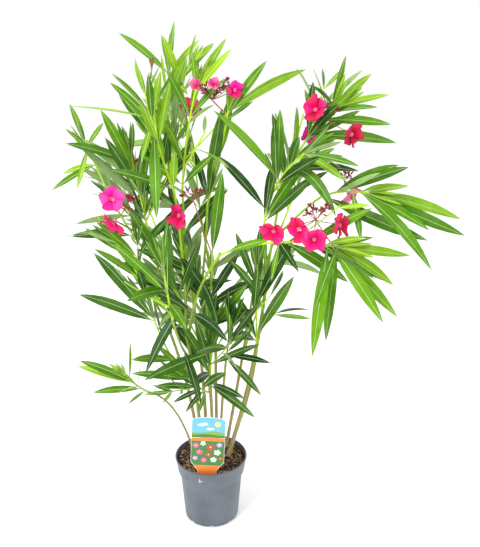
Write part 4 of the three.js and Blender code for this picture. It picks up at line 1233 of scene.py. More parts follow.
def grain(period_mm):
    """A texture's scale, in object space, for features of this size."""
    return 1 / (period_mm * MM)


def stripes(period):
    """A wave texture's scale, over a piece's pattern marks, for stripes this far apart."""
    return 2 * math.pi / 20 / period


def start_material(name, roughness, ior, **inputs):
    """A material with its node tree and shader, and these values on the shader's own sockets."""
    material = bpy.data.materials.new(name)
    material.use_nodes = True
    tree = material.node_tree
    shader = tree.nodes["Principled BSDF"]
    for key, value in {"Roughness": roughness, "IOR": ior, **inputs}.items():
        shader.inputs[key.replace("_", " ")].default_value = value
    return material, tree, shader


def feed(tree, socket, shader, name):
    tree.links.new(socket, shader.inputs[name])


def mottled(name, colours, roughness, ior, patch_mm, bump_mm, bump_depth, **inputs):
    """A grown or cast surface: patches between two colours, uneven gloss and a fine relief."""
    material, tree, shader = start_material(name, roughness, ior, **inputs)
    place = add_node(tree, "TexCoord").outputs["Object"]
    patches = add_node(tree, "TexNoise", {"Scale": grain(patch_mm), "Detail": 3}, Vector=place)
    ramp = add_node(tree, "ValToRGB", Fac=patches.outputs["Fac"])
    for element, position, colour in zip(ramp.color_ramp.elements, PATCH_EDGES, colours):
        element.position = position
        element.color = (*colour, 1)
    feed(tree, ramp.outputs["Color"], shader, "Base Color")
    span = {"To Min": roughness - UNEVEN_GLOSS, "To Max": roughness + UNEVEN_GLOSS}
    gloss = add_node(tree, "MapRange", span, Value=patches.outputs["Fac"])
    feed(tree, gloss.outputs[0], shader, "Roughness")
    relief = add_node(tree, "TexNoise", {"Scale": grain(bump_mm), "Detail": 4}, Vector=place)
    depth = {"Strength": 0.6, "Distance": bump_depth * MM}
    bump = add_node(tree, "Bump", depth, Height=relief.outputs["Fac"])
    feed(tree, bump.outputs["Normal"], shader, "Normal")
    return material


def leaf_skin(name, colour, roughness, gloss, vein_depth):
    """Leathery leaf, grown and waxed: fine side veins across a soft mottle, and a satin gloss."""
    colours = mixed(colour, BLACK, 0.12), mixed(colour, (1, 1, 0.5), 0.03)
    material = mottled(
        name, colours, roughness, ior=1.45, patch_mm=26, bump_mm=2, bump_depth=0.05,
        Specular_IOR_Level=gloss,
    )
    tree = material.node_tree
    shader = tree.nodes["Principled BSDF"]
    place = add_node(tree, "UVMap", {"uv_map": "pattern"})
    # Real side veins lie about 1.5 mm apart, and are drawn at 3 mm so that they show.
    look = {"bands_direction": "Y", "Scale": stripes(3 / MARK), "Distortion": 1.2, "Detail": 1}
    veins = add_node(tree, "TexWave", look, Vector=place.outputs[0])
    bump = add_node(
        tree,
        "Bump",
        {"Strength": 0.5, "Distance": vein_depth * MM},
        Height=veins.outputs["Fac"],
        Normal=shader.inputs["Normal"].links[0].from_socket,
    )
    feed(tree, bump.outputs["Normal"], shader, "Normal")
    return material


def bark_skin(name, foot, middle, top, low_z, high_z):
    """Young bark, grown: colour that greens with height, lengthwise streaks and fine fissures."""
    material, tree, shader = start_material(name, roughness=0.62, ior=1.5)
    place = add_node(tree, "TexCoord")
    parts = add_node(tree, "SeparateXYZ", Vector=place.outputs["Object"])
    streaks = add_node(tree, "Mapping", {"Scale": (1, 1, 0.12)}, Vector=place.outputs["Object"])
    uneven_look = {"Scale": grain(5), "Detail": 5}
    uneven = add_node(tree, "TexNoise", uneven_look, Vector=streaks.outputs[0])
    span = {"From Min": low_z * MM, "From Max": high_z * MM}
    height = add_node(tree, "MapRange", span, Value=parts.outputs["Z"])
    about_zero = {"operation": "MULTIPLY_ADD", 1: 0.7, 2: -0.35}
    shifted = add_node(tree, "Math", about_zero, Value=uneven.outputs["Fac"])
    raised = add_node(
        tree, "Math", {"operation": "ADD"}, i0=height.outputs[0], i1=shifted.outputs[0]
    )
    ramp = add_node(tree, "ValToRGB", Fac=raised.outputs[0])
    ramp.color_ramp.elements[0].color = (*foot, 1)
    ramp.color_ramp.elements[1].color = (*top, 1)
    ramp.color_ramp.elements.new(0.45).color = (*middle, 1)
    feed(tree, ramp.outputs["Color"], shader, "Base Color")
    fissure_look = {"Scale": grain(1.6), "Detail": 3}
    fissures = add_node(tree, "TexNoise", fissure_look, Vector=streaks.outputs[0])
    depth = {"Strength": 0.8, "Distance": 0.25 * MM}
    bump = add_node(tree, "Bump", depth, Height=fissures.outputs["Fac"])
    feed(tree, bump.outputs["Normal"], shader, "Normal")
    return material


def petal_skin(name, colour):
    """Petal, grown, velvety: deeper towards the throat, with fine lengthwise veins, a painted
    highlight towards its tip and painted shade along its side edges.
    """
    material, tree, shader = start_material(
        name, roughness=0.6, ior=1.4, Specular_IOR_Level=0.15
    )
    place = add_node(tree, "UVMap", {"uv_map": "pattern"})
    parts = add_node(tree, "SeparateXYZ", Vector=place.outputs[0])
    # A petal's marks run from -1 to 1 across it, so that these veins lie about 2 mm apart.
    look = {"bands_direction": "X", "Scale": stripes(0.14), "Distortion": 2.5, "Detail": 2}
    veins = add_node(tree, "TexWave", look, Vector=place.outputs[0])
    veined = {"operation": "MULTIPLY_ADD", 1: 0.3}
    shade = add_node(tree, "Math", veined, i0=veins.outputs["Fac"], i2=parts.outputs["Y"])
    ramp = add_node(tree, "ValToRGB", Fac=shade.outputs[0])
    foot, tip = ramp.color_ramp.elements
    foot.position = 0.05
    foot.color = (*mixed(colour, (0.12, 0, 0.01), 0.45), 1)
    # Painted highlight: the petal is painted a little lighter and pinker towards its tip.
    tip.position = 0.96
    tip.color = (*mixed(colour, (1, 0.5, 1), 0.06), 1)
    ramp.color_ramp.elements.new(0.45).color = (*colour, 1)
    # Painted shade: the petal is darkened towards its side edges, where it meets its neighbours.
    off_middle = add_node(tree, "Math", {"operation": "ABSOLUTE"}, i0=parts.outputs["X"])
    to_edge = {"From Min": 0.62, "From Max": 1, "To Max": 0.55}
    painted_gap_shade = add_node(tree, "MapRange", to_edge, Value=off_middle.outputs[0])
    painted_gap_shade_mix = {"data_type": "RGBA", 7: (*mixed(colour, (0.2, 0, 0.03), 0.75), 1)}
    shaded = add_node(tree, "Mix", painted_gap_shade_mix, i0=painted_gap_shade.outputs[0], i6=ramp.outputs["Color"])
    feed(tree, shaded.outputs[2], shader, "Base Color")
    depth = {"Strength": 0.5, "Distance": 0.2 * MM}
    bump = add_node(tree, "Bump", depth, Height=veins.outputs["Fac"])
    feed(tree, bump.outputs["Normal"], shader, "Normal")
    return material


def add_tube(draft, stem, sides, steps, finish, relief=None, point_out=0):
    """A round limb with a relief on its skin, closed at its foot and domed at its tip."""
    points = []
    length = stem.curve.length()
    for step in range(steps + 1):
        share = step / steps
        frame = cross_frame(stem.curve.tangent(share))
        middle = stem.curve.point(share)
        for k in range(sides):
            bearing = math.tau * k / sides
            radius = stem.radius(share)
            if relief:
                radius += relief(share * length, bearing, middle)
            points.append(middle + spoke(frame, bearing) * radius)
    end = stem.curve.tip + stem.curve.tangent(1) * (point_out or stem.radii[1] * DOME)
    points += [stem.curve.foot.copy(), end]
    foot, tip = len(points) - 2, len(points) - 1
    faces = []
    for step in range(steps):
        for k in range(sides):
            a, b = step * sides + k, step * sides + (k + 1) % sides
            faces.append((b, a, a + sides, b + sides))
    last = steps * sides
    for k in range(sides):
        after = (k + 1) % sides
        faces += [(k, after, foot), (last + after, last + k, tip)]
    draft.add(points, faces, finish)


def bark_relief(number, node_step, ring, foot_flare):
    """Rings where whorls stood, three scars on each, and shallow flutes along the cane."""
    phase = number * RING_PHASE

    def relief(along, bearing, middle):
        whorl = round(along / node_step)
        off = along - whorl * node_step
        bump = math.exp(-((off / RING_WIDTH) ** 2)) if whorl else 0
        around = math.cos(LEAVES_IN_WHORL * bearing + math.pi * whorl + phase)
        scar = max(0, around) ** SCAR_POWER
        flutes = FLUTE_DEPTH * math.sin(FLUTES * bearing + phase)
        spot = middle / ROUGH_SIZE + Vector((*on_circle(1, bearing), number))
        rough = ROUGH_DEPTH * noise.noise(spot)
        flare = foot_flare * math.exp(-along / FLARE_HEIGHT)
        return ring * bump * (RING_LEAST + scar) + flutes + rough + flare

    return relief


def flower_frame(flower):
    side, other = cross_frame(flower.facing)
    return Matrix((side, other, flower.facing)).transposed()


def flower_skin(flower):
    """The flower's cone, for the test of room."""
    frame = flower_frame(flower)
    points = [flower.middle - flower.facing * FLOWER_SKIN_DEPTH]
    for k in range(FLOWER_SKIN_SIDES):
        across = on_circle(FLOWER_SKIN_RADIUS, math.tau * k / FLOWER_SKIN_SIDES)
        points.append(flower.middle + frame @ Vector((*across, FLOWER_SKIN_RISE)))
    faces = [(0, 1 + k, 1 + (k + 1) % FLOWER_SKIN_SIDES) for k in range(FLOWER_SKIN_SIDES)]
    return points, faces


def petal(frame, middle, bearing, random, size, cup, raised):
    """A petal as a closed skin: a broad wavy tongue, with one side over its neighbour."""
    phase = math.tau * random.next()
    wave = random.between(*PETAL_WAVES)
    turn = Matrix.Rotation(bearing, 3, "Z")
    tilt = random.scatter(PETAL_TILT) + raised
    top, marks = [], []
    for share, reach, half, rise in zip(PETAL_ROWS, PETAL_REACH, PETAL_HALF, PETAL_RISE):
        for column in range(PETAL_COLUMNS + 1):
            across = 2 * column / PETAL_COLUMNS - 1
            skew = PETAL_SKEW * share * across
            edge = -PETAL_ROUND * share * across**2
            lift = rise + PETAL_OVERLAP * across * share + cup * reach * across**2 + tilt * reach
            lift += wave * share**2 * math.sin(phase + PETAL_RIPPLE * across)
            local = Vector((reach + edge + skew, half * across, lift)) * size
            top.append(middle + frame @ (turn @ local))
            marks.append((across, share))
    columns, rows = PETAL_COLUMNS + 1, len(PETAL_ROWS)
    below = frame @ Vector((0, 0, -PETAL_THICKNESS))
    points, places, under = list(top), list(marks), {}
    for index, point in enumerate(top):
        row, column = divmod(index, columns)
        under[index] = index
        if 0 < row < rows - 1 and 0 < column < columns - 1:
            under[index] = len(points)
            points.append(point + below)
            places.append(marks[index])
    faces = []
    for row in range(rows - 1):
        for column in range(columns - 1):
            a = row * columns + column
            face = (a, a + columns, a + columns + 1, a + 1)
            faces.append(face)
            faces.append(tuple(under[i] for i in (face[0], *face[:0:-1])))
    return points, faces, places


def add_spindle(draft, foot, way, length, radii, sides, finish):
    """A pointed round body along a straight way, with a radius at each even step."""
    frame = cross_frame(way)
    points = [foot.copy()]
    for step, radius in enumerate(radii):
        middle = foot + way * (length * (step + 1) / (len(radii) + 1))
        for k in range(sides):
            points.append(middle + spoke(frame, math.tau * k / sides) * radius)
    points.append(foot + way * length)
    last = len(points) - 1
    faces = []
    for k in range(sides):
        after = (k + 1) % sides
        faces.append((1 + k, 1 + after, 0))
        faces.append((last - sides + after, last - sides + k, last))
        for step in range(len(radii) - 1):
            a, b = 1 + step * sides + k, 1 + step * sides + after
            faces.append((b, a, a + sides, b + sides))
    draft.add(points, faces, finish)


def add_flower(draft, flower, palette):
    """Five petals on a pale funnel with a fringed throat and a dark calyx."""
    random = Draws(flower.seed)
    nod = Matrix.Rotation(random.scatter(FLOWER_NOD), 3, "X")
    nod @= Matrix.Rotation(random.scatter(FLOWER_NOD), 3, "Y")
    frame = flower_frame(flower) @ nod
    drawn = 1 + int(random.next() * (palette - 2))
    hue = drawn if flower.hue is None else flower.hue
    start = math.tau * random.next()
    size = random.between(*FLOWER_SIZES) * flower.size
    raised = HALF_OPEN_TILT if flower.half_open else 0
    cup = random.between(*PETAL_CUPS)
    funnel, calyx, pale = palette, palette + 1, palette + 2
    for k in range(PETALS):
        tint = min(palette - 1, max(0, hue + round(random.scatter(TINT_SPREAD))))
        if flower.pale:
            tint = pale if k % 3 else palette - 1
        bearing = start + math.tau * k / PETALS + random.scatter(PETAL_TURN_SCATTER)
        points, faces, marks = petal(frame, flower.middle, bearing, random, size, cup, raised)
        draft.add(points, faces, tint, marks)
    foot = flower.middle + frame @ Vector((0, 0, -FRINGE_SUNK))
    for k in range(FRINGE_THREADS):
        out = on_circle(1, math.tau * k / FRINGE_THREADS)
        way = frame @ Vector((*out, FRINGE_RISE)).normalized()
        add_spindle(draft, foot, way, FRINGE_LENGTH, FRINGE_RADII, 4, funnel)
    foot = flower.middle - flower.facing * FUNNEL_FOOT
    half, end = (foot + flower.facing * along for along in (FUNNEL_HALF, FUNNEL_LENGTH))
    add_tube(draft, Stem(Curve(foot, half, end), FUNNEL_RADII), 10, 4, funnel)
    for k in range(PETALS):
        out = on_circle(SEPAL_SPREAD, math.tau * k / PETALS)
        way = frame @ Vector((*out, 1)).normalized()
        add_spindle(draft, foot - flower.facing, way, SEPAL_LENGTH, SEPAL_RADII, 5, calyx)


def colour_property(name, description, code):
    return FloatVectorProperty(
        name=name, description=description, subtype="COLOR", size=3, min=0, max=1,
        default=linear(code),
    )


class OleanderLeaves(PropertyGroup):
    """Sizes and colours of the leaves."""

    widest: FloatProperty(
        name="Widest leaf", description="Most width of a leaf", default=0.027, unit="LENGTH"
    )
    width_share: FloatProperty(
        name="Width share", description="Width as a share of the length", default=0.14,
        subtype="FACTOR",
    )
    dark: colour_property("Dark green", "Old leaves inside the crown", "#1f4c14")
    middle: colour_property("Middle green", "Full-grown leaves", "#568f06")
    lime: colour_property("Lime green", "Young leaves at the tips", "#95c016")
    under: colour_property("Underside", "Paler, dull underside", "#a6c67e")
    rib: colour_property("Midrib", "Pale midrib", "#e4f0b4")


class OleanderStems(PropertyGroup):
    """Sizes and colours of canes, boughs and shoots."""

    node_step: FloatProperty(
        name="Node step", description="Distance between the rings of old whorls",
        default=0.048, unit="LENGTH",
    )
    foot: colour_property("Cane foot", "Tan bark near the soil", "#a6926a")
    bark: colour_property("Cane bark", "Olive bark", "#8b8742")
    green: colour_property("Green bark", "Bark of the boughs", "#8cb41c")
    shoot: colour_property("Shoot", "Yellow-green shoots", "#b8dc22")


class OleanderBlossom(PropertyGroup):
    """Colours of petals, buds and stalks."""

    hot: colour_property("Hot pink", "Most petals", "#de066a")
    magenta: colour_property("Magenta", "Bluer petals", "#dc0c8c")
    light: colour_property("Light pink", "Paler petals", "#f63c9c")
    pale: colour_property("Pale pink", "Most petals of the palest flowers", "#f58cb0")
    red: colour_property("Red pink", "Redder petals", "#d8064c")
    crimson: colour_property("Crimson", "Darkest petals", "#b6022e")
    throat: colour_property("Throat", "Funnel and fringe", "#f0a0a8")
    bud: colour_property("Bud", "Maroon buds and calyces", "#64181f")
    sheath: colour_property("Sheath", "Olive green in closed buds", "#8a8a1e")
    stalk: colour_property("Stalk", "Pinkish stalks", "#b4745a")


class OleanderPot(PropertyGroup):
    """Sizes and colours of the pot, its soil and its label."""

    plastic: colour_property("Plastic", "Grey of the nursery pot", "#555d67")
    peat: colour_property("Peat", "Dark potting soil", "#22160f")
    fibre: colour_property("Fibre", "Bark chips and fibres in the soil", "#b28a62")
    crumbs: IntProperty(name="Crumbs", description="Number of peat crumbs", default=620, min=0)
    fibres: IntProperty(name="Fibres", description="Number of fibres", default=400, min=0)
    sky: colour_property("Sky print", "Top of the label", "#6db7e4")
    band: colour_property("Band print", "Orange band and stake", "#ef8236")
    field: colour_property("Field print", "Green field of the label", "#3f7d35")


class OleanderStage(PropertyGroup):
    """Light and floor."""

    key: FloatProperty(
        name="Key light", description="Power of the main soft light", default=80, unit="POWER"
    )
    fill: FloatProperty(
        name="Fill light", description="Power of each other light", default=18, unit="POWER"
    )
    sky: FloatProperty(
        name="Surround", description="Strength of the even light all round", default=1.0
    )


class OLEANDER_OT_canes(Operator):
    """Make the canes and the boughs that fork off them, with bark relief"""

    bl_idname = "oleander.canes"
    bl_label = "Canes and boughs"

    def execute(self, context):
        stems = context.scene.oleander_stems
        step = stems.node_step / MM
        canes, boughs = Draft(), Draft()
        for number, row in enumerate(LIMBS):
            stem = plant().limbs[row.name]
            steps = round(stem.curve.length() / LIMB_STEP)
            if row.name.startswith("cane"):
                relief = bark_relief(number, step, CANE_RING, 0 if row.on else FOOT_FLARE)
                add_tube(canes, stem, CANE_SIDES, steps, 0, relief)
            else:
                relief = bark_relief(number, step, BOUGH_RING, 0)
                add_tube(boughs, stem, BOUGH_SIDES, steps, 0, relief)
        cane_bark = bark_skin(
            "bark_of_canes_grown", stems.foot, stems.bark, stems.green, low_z=SOIL_TOP, high_z=580
        )
        bough_bark = bark_skin(
            "bark_of_boughs_grown", stems.bark, stems.green, stems.shoot, low_z=450, high_z=950
        )
        settle(canes.make("canes_bark", [cane_bark]), nodes_named("cane_"))
        settle(boughs.make("boughs_bark", [bough_bark]), nodes_named("bough_"))
        return {"FINISHED"}


class OLEANDER_OT_shoots(Operator):
    """Make the green stems and twigs that carry the leaves"""

    bl_idname = "oleander.shoots"
    bl_label = "Green shoots"

    def execute(self, context):
        stems = context.scene.oleander_stems
        draft = Draft()
        for number, stem in enumerate(plant().shoots):
            steps = max(4, round(stem.curve.length() / SHOOT_STEP))
            relief = bark_relief(number, SHOOT_NODE_STEP, SHOOT_RING, 0)
            add_tube(draft, stem, SHOOT_SIDES, steps, 0, relief, SHOOT_POINT)
        skin = bark_skin(
            "rind_of_shoots_grown", stems.green, stems.shoot, stems.shoot, low_z=400, high_z=900
        )
        settle(draft.make("green_shoots", [skin]), [])
        return {"FINISHED"}


class OLEANDER_OT_leaves(Operator):
    """Make the leaf blades, one piece for each age of shoot"""

    bl_idname = "oleander.leaves"
    bl_label = "Leaf blades"

    def execute(self, context):
        settings = context.scene.oleander_leaves
        greens = settings.dark, settings.middle, settings.lime
        dark, middle, lime = greens
        materials = []
        for tone in range(LEAF_TONES):
            share = 2 * tone / (LEAF_TONES - 1)
            colour = mixed(dark, middle, share) if share < 1 else mixed(middle, lime, share - 1)
            name = f"leaf_upper_waxed_{tone}"
            materials.append(leaf_skin(name, colour, roughness=0.36, gloss=0.14, vein_depth=0.12))
        for tone, green in enumerate(greens):
            name, colour = f"leaf_underside_matt_{tone}", mixed(settings.under, green, 0.35)
            materials.append(leaf_skin(name, colour, roughness=0.62, gloss=0.12, vein_depth=0.08))
        for tone, green in enumerate(greens):
            name, colour = f"leaf_midrib_grown_{tone}", mixed(green, settings.rib, 0.6)
            rib = mottled(
                name, (colour, colour), 0.5, ior=1.45, patch_mm=6, bump_mm=1, bump_depth=0.05
            )
            materials.append(rib)
        for age, blades in plant().leaves.items():
            draft = Draft()
            for blade in blades:
                add_blade(draft, blade)
            nodes = [row.name for row in MASSES if row.age == age]
            settle(draft.make(f"leaf_blades_{age}", materials, sharp=70), nodes)
        return {"FINISHED"}


def add_blade(draft, blade):
    """Adds a leaf's faces: upper halves in their own tones, one of them a step lighter or darker as
    painted shading, pale midrib and dull underside.
    """
    tone = min(LEAF_TONES - 1, max(0, round(blade.tone)))
    # Painted light and shade: a twisted leaf's second upper half is painted a tone lighter or
    # darker, by the way it twists.
    aside = math.copysign(1, blade.twist) if abs(blade.twist) > PAINTED_SHADING_TWIST else 0
    other = min(LEAF_TONES - 1, max(0, tone + int(aside)))
    under = LEAF_TONES + tone * 3 // LEAF_TONES
    rib = under + 3
    ring = (tone, rib, other, under, rib, under)
    last = (len(LEAF_STATIONS) - 1) * LEAF_RING
    faces, finishes = [], []
    for start in range(0, last, LEAF_RING):
        for k, finish in enumerate(ring):
            a, b = start + k, start + (k + 1) % LEAF_RING
            face = (a, b, b + LEAF_RING, a + LEAF_RING)
            # Both sides of a half leaf are split along one diagonal, so neither cuts the other.
            faces.append(face[1:] + face[:1] if k in UNDERSIDES else face)
            finishes.append(finish)
    for k, finish in enumerate(ring):
        faces.append((last + k, last + (k + 1) % LEAF_RING, last + LEAF_RING))
        finishes.append(finish)
    faces.append(tuple(reversed(range(LEAF_RING))))
    finishes.append(rib)
    draft.add(blade.points, faces, finishes, blade.marks)


class OLEANDER_OT_blossom(Operator):
    """Make the open flowers, the buds and their stalks"""

    bl_idname = "oleander.blossom"
    bl_label = "Blossom"

    def execute(self, context):
        colours = context.scene.oleander_blossom
        petals, buds = Draft(), Draft()
        hot, magenta, red = colours.hot, colours.magenta, colours.red
        tints = (colours.crimson, red, hot, hot, magenta, magenta, colours.light)
        for flower in plant().flowers:
            add_flower(petals, flower, len(tints))
        bud, stalk, sheath = range(3)
        for stem in plant().stalks:
            add_tube(buds, stem, 7, 8, stalk)
        for stem in plant().closed_stalks:
            add_tube(buds, stem, 7, 8, sheath)
        for fork, way, length, closed in plant().buds:
            neck = fork + way * (length * (1 - BUD_SHARE))
            stem = Stem(curve_between(fork, neck, UP * -BUD_STALK_SAG), BUD_STALK)
            add_tube(buds, stem, 6, 3, sheath if closed else stalk)
            foot, body = neck - way * BUD_OVERLAP, length * BUD_SHARE + BUD_OVERLAP
            add_spindle(buds, foot, way, body, BUD_RADII, 8, sheath if closed else bud)
        skins = [petal_skin(f"petal_velvet_{k}", tint) for k, tint in enumerate(tints)]
        bud_red, olive = mixed(colours.bud, red, 0.35), mixed(colours.bud, colours.sheath, 0.6)
        brown = mixed(colours.stalk, colours.bud, 0.6)
        # Name, two colours, roughness, IOR, size of its patches and of its relief, and its depth.
        skins += [
            mottled("flower_funnel_grown", (colours.throat, colours.light), 0.55, 1.4, 3, 1, 0.05),
            mottled("calyx_grown", (colours.bud, colours.stalk), 0.5, 1.45, 4, 1, 0.05),
            petal_skin("petal_velvet_pale", colours.pale),
        ]
        darker = mixed(olive, colours.bud, 0.5)
        bud_skins = [
            mottled("bud_waxed", (colours.bud, bud_red), 0.42, 1.45, 5, 1, 0.06),
            mottled("stalk_grown", (colours.stalk, brown), 0.55, 1.45, 8, 1, 0.08),
            mottled("bud_sheath_grown", (olive, darker), 0.5, 1.45, 5, 1, 0.08),
        ]
        settle(petals.make("flower_petals", skins, sharp=60), [])
        settle(buds.make("buds_and_stalks", bud_skins), [])
        return {"FINISHED"}


# The pot's outline from the middle of its underside, round the rim and down to its floor.
POT_OUTLINE = (
    (0, 0.9), (46, 0.9), (48, 0), (59.5, 0), (62.4, 0.7), (63.7, 2.2), (64.2, 5), (66.3, 30),
    (68.4, 56), (70.6, 84), (72.3, 106), (73, 116), (73.7, 120), (75.2, 123), (77.2, 124.6),
    (78.4, 125.2), (78.6, 126), (79.2, 128), (79.9, 133), (81, 141), (82.4, 149), (83.8, 155),
    (84.7, 158), (85, 159.4), (85, 161), (84.7, 161.7), (84, 162), (82.6, 162), (82, 161.7),
    (81.6, 160.6), (80.6, 152), (77.6, 126), (77, 124.6), (73, 120), (71.4, 117), (66.5, 56),
    (62.8, 5), (61.6, 3.6), (0, 3.6),
)
POT_SEGMENTS = 168
POT_FLOOR = 3.6
DRAIN_NOTCHES = 8
NOTCH_POWER = 6
NOTCH_HEIGHT = 9
NOTCH_FROM_RADIUS = 50
NOTCH_DEPTH = 2.6
NOTCH_LIFT = 2.4
# The patch of scratches on the pot's band: its middle, and where it fades from and to.
SCUFFED_AT = Vector((-24, -76.8, 142))
SCUFFED_WITHIN = 4
SCUFFED_TO = 11


def pot_point(radius, height, bearing):
    """A point of the pot, with the drain notches pressed into its lower edge."""
    notch = max(0, math.cos(DRAIN_NOTCHES * bearing)) ** NOTCH_POWER
    if radius > NOTCH_FROM_RADIUS and height < NOTCH_HEIGHT and height != POT_FLOOR:
        depth = notch * (1 - height / NOTCH_HEIGHT)
        radius -= NOTCH_DEPTH * depth
        height += NOTCH_LIFT * depth
    return Vector((radius * math.sin(bearing), -radius * math.cos(bearing), height))


class OLEANDER_OT_pot(Operator):
    """Make the thin nursery pot with its band, rolled rim and drain notches"""

    bl_idname = "oleander.pot"
    bl_label = "Pot"

    def execute(self, context):
        rows = len(POT_OUTLINE) - 2
        points = [Vector((0, 0, POT_OUTLINE[0][1]))]
        for radius, height in POT_OUTLINE[1:-1]:
            for k in range(POT_SEGMENTS):
                points.append(pot_point(radius, height, math.tau * (k + 0.5) / POT_SEGMENTS))
        points.append(Vector((0, 0, POT_OUTLINE[-1][1])))
        last = len(points) - 1
        faces = []
        for k in range(POT_SEGMENTS):
            after = (k + 1) % POT_SEGMENTS
            faces.append((0, 1 + after, 1 + k))
            faces.append((last, last - POT_SEGMENTS + k, last - POT_SEGMENTS + after))
            for row in range(rows - 1):
                a, b = 1 + row * POT_SEGMENTS + k, 1 + row * POT_SEGMENTS + after
                faces.append((a, b, b + POT_SEGMENTS, a + POT_SEGMENTS))
        draft = Draft()
        draft.add(points, faces, 0)
        plastic = pot_plastic(context.scene.oleander_pot.plastic)
        settle(draft.make("pot_shell", [plastic], sharp=40), ["pot"])
        return {"FINISHED"}


def pot_plastic(colour):
    """Polypropylene, thermoformed: satin grey with a fine grain, cloudy patches and pale scuffs."""
    material = mottled(
        "polypropylene_thermoformed", (mixed(colour, BLACK, 0.06), mixed(colour, WHITE, 0.03)),
        0.42, 1.49, patch_mm=60, bump_mm=0.9, bump_depth=0.05,
    )
    tree = material.node_tree
    shader = tree.nodes["Principled BSDF"]
    base = shader.inputs["Base Color"].links[0].from_socket
    place = add_node(tree, "TexCoord")
    leant = {"Scale": (1, 1, 3), "Rotation": (0.5, 0.2, 0)}
    laid = add_node(tree, "Mapping", leant, Vector=place.outputs["Object"])
    speck_look = {"Scale": grain(7), "Detail": 6, "Roughness": 0.7}
    specks = add_node(tree, "TexNoise", speck_look, Vector=laid.outputs[0])
    few = {"From Min": 0.66, "From Max": 0.76}
    scuffs = add_node(tree, "MapRange", few, Value=specks.outputs["Fac"])
    from_patch = {"operation": "DISTANCE", 1: SCUFFED_AT * MM}
    away = add_node(tree, "VectorMath", from_patch, i0=place.outputs["Object"])
    fading = {"From Min": SCUFFED_TO * MM, "From Max": SCUFFED_WITHIN * MM, "To Max": 0.24}
    near = add_node(tree, "MapRange", fading, Value=away.outputs["Value"])
    slant = {"Scale": (1, 1, 0.35), "Rotation": (0, 0.6, 0)}
    slanted = add_node(tree, "Mapping", slant, Vector=place.outputs["Object"])
    scratch_look = {"Scale": grain(3), "Detail": 3}
    scratches = add_node(tree, "TexNoise", scratch_look, Vector=slanted.outputs[0])
    rubbed = add_node(
        tree, "Math", {"operation": "ADD"}, i0=near.outputs[0], i1=scratches.outputs["Fac"]
    )
    deepest = {"From Min": 0.74, "From Max": 0.8}
    scraped = add_node(tree, "MapRange", deepest, Value=rubbed.outputs[0])
    either = add_node(
        tree, "Math", {"operation": "MAXIMUM"}, i0=scuffs.outputs[0], i1=scraped.outputs[0]
    )
    whitened = {"data_type": "RGBA", 7: (*mixed(colour, WHITE, 0.5), 1)}
    worn = add_node(tree, "Mix", whitened, i0=either.outputs[0], i6=base)
    feed(tree, worn.outputs[2], shader, "Base Color")
    return material


SOIL_RADIUS = 79.6
SOIL_RINGS = 34
SOIL_SIDES = 120
# The soil's side against the pot, from its rim to its flat underside: radius and height.
SOIL_WALL = ((76.4, 127), (72, 118), (64, 20), (62, 6))
# The soil's lumps: height, width and a place in the noise. At the rim it sinks.
SOIL_LUMPS = ((2.2, 16, 3), (1.6, 5, 9))
SOIL_SINK = 1.2
SOIL_SINK_POWER = 6
# What lies on the soil, within this reach of its middle.
LITTER_RUN = 71
LITTER_REACH = 77
CRUMB_LEAST = 1
CRUMB_GAIN = 3.2
CRUMB_FLATNESS = (0.4, 0.9)
CRUMB_LENGTHS = (0.8, 1.7)
CRUMB_ROUGHNESS = (0.75, 1.15)
CRUMB_LIFT = 0.35
CRUMB_KINDS = 2.35
FIBRE_LENGTHS = (5, 17)
FIBRE_LIFTS = (0.2, 1.6)
FIBRE_BOWS = (0.5, 2.5)
FIBRE_BEND = 5
FIBRE_RADII = (0.3, 0.7)
FIBRE_TIP = 0.2
FIBRE_KINDS = 1.4


class OLEANDER_OT_soil(Operator):
    """Make the soil with its crumbs and fibres"""

    bl_idname = "oleander.soil"
    bl_label = "Soil"

    def execute(self, context):
        settings = context.scene.oleander_pot
        peat, fibre = settings.peat, settings.fibre
        soil = mottled(
            "peat_pressed", (mixed(peat, BLACK, 0.45), mixed(peat, fibre, 0.08)), 0.93, 1.4,
            patch_mm=5, bump_mm=1.5, bump_depth=1,
        )
        settle(soil_bed().make("soil_bed", [soil]), ["soil"])
        crumbs, fibres = Draft(), Draft()
        random = Draws(LITTER_RUN)
        for _ in range(settings.crumbs):
            add_crumb(crumbs, random)
        for _ in range(settings.fibres):
            add_fibre(fibres, random)
        # Name, two colours, roughness, IOR, size of its patches and of its relief, and its depth.
        dark = mottled("peat_crumb_dark", (mixed(peat, BLACK, 0.6), peat), 0.92, 1.4, 3, 1, 0.5)
        brown = mottled("peat_crumb_brown", (peat, mixed(peat, fibre, 0.2)), 0.9, 1.4, 3, 1, 0.5)
        chip = mottled("bark_chip_torn", (mixed(peat, fibre, 0.35), fibre), 0.85, 1.4, 3, 1, 0.3)
        bleached = mixed(fibre, (1, 0.85, 0.6), 0.35)
        straw = mottled("fibre_torn", (fibre, bleached), 0.8, 1.4, 4, 1, 0.2)
        settle(crumbs.make("peat_crumbs", [dark, brown, chip], sharp=30), [])
        settle(fibres.make("bark_fibres", [straw, chip]), [])
        return {"FINISHED"}


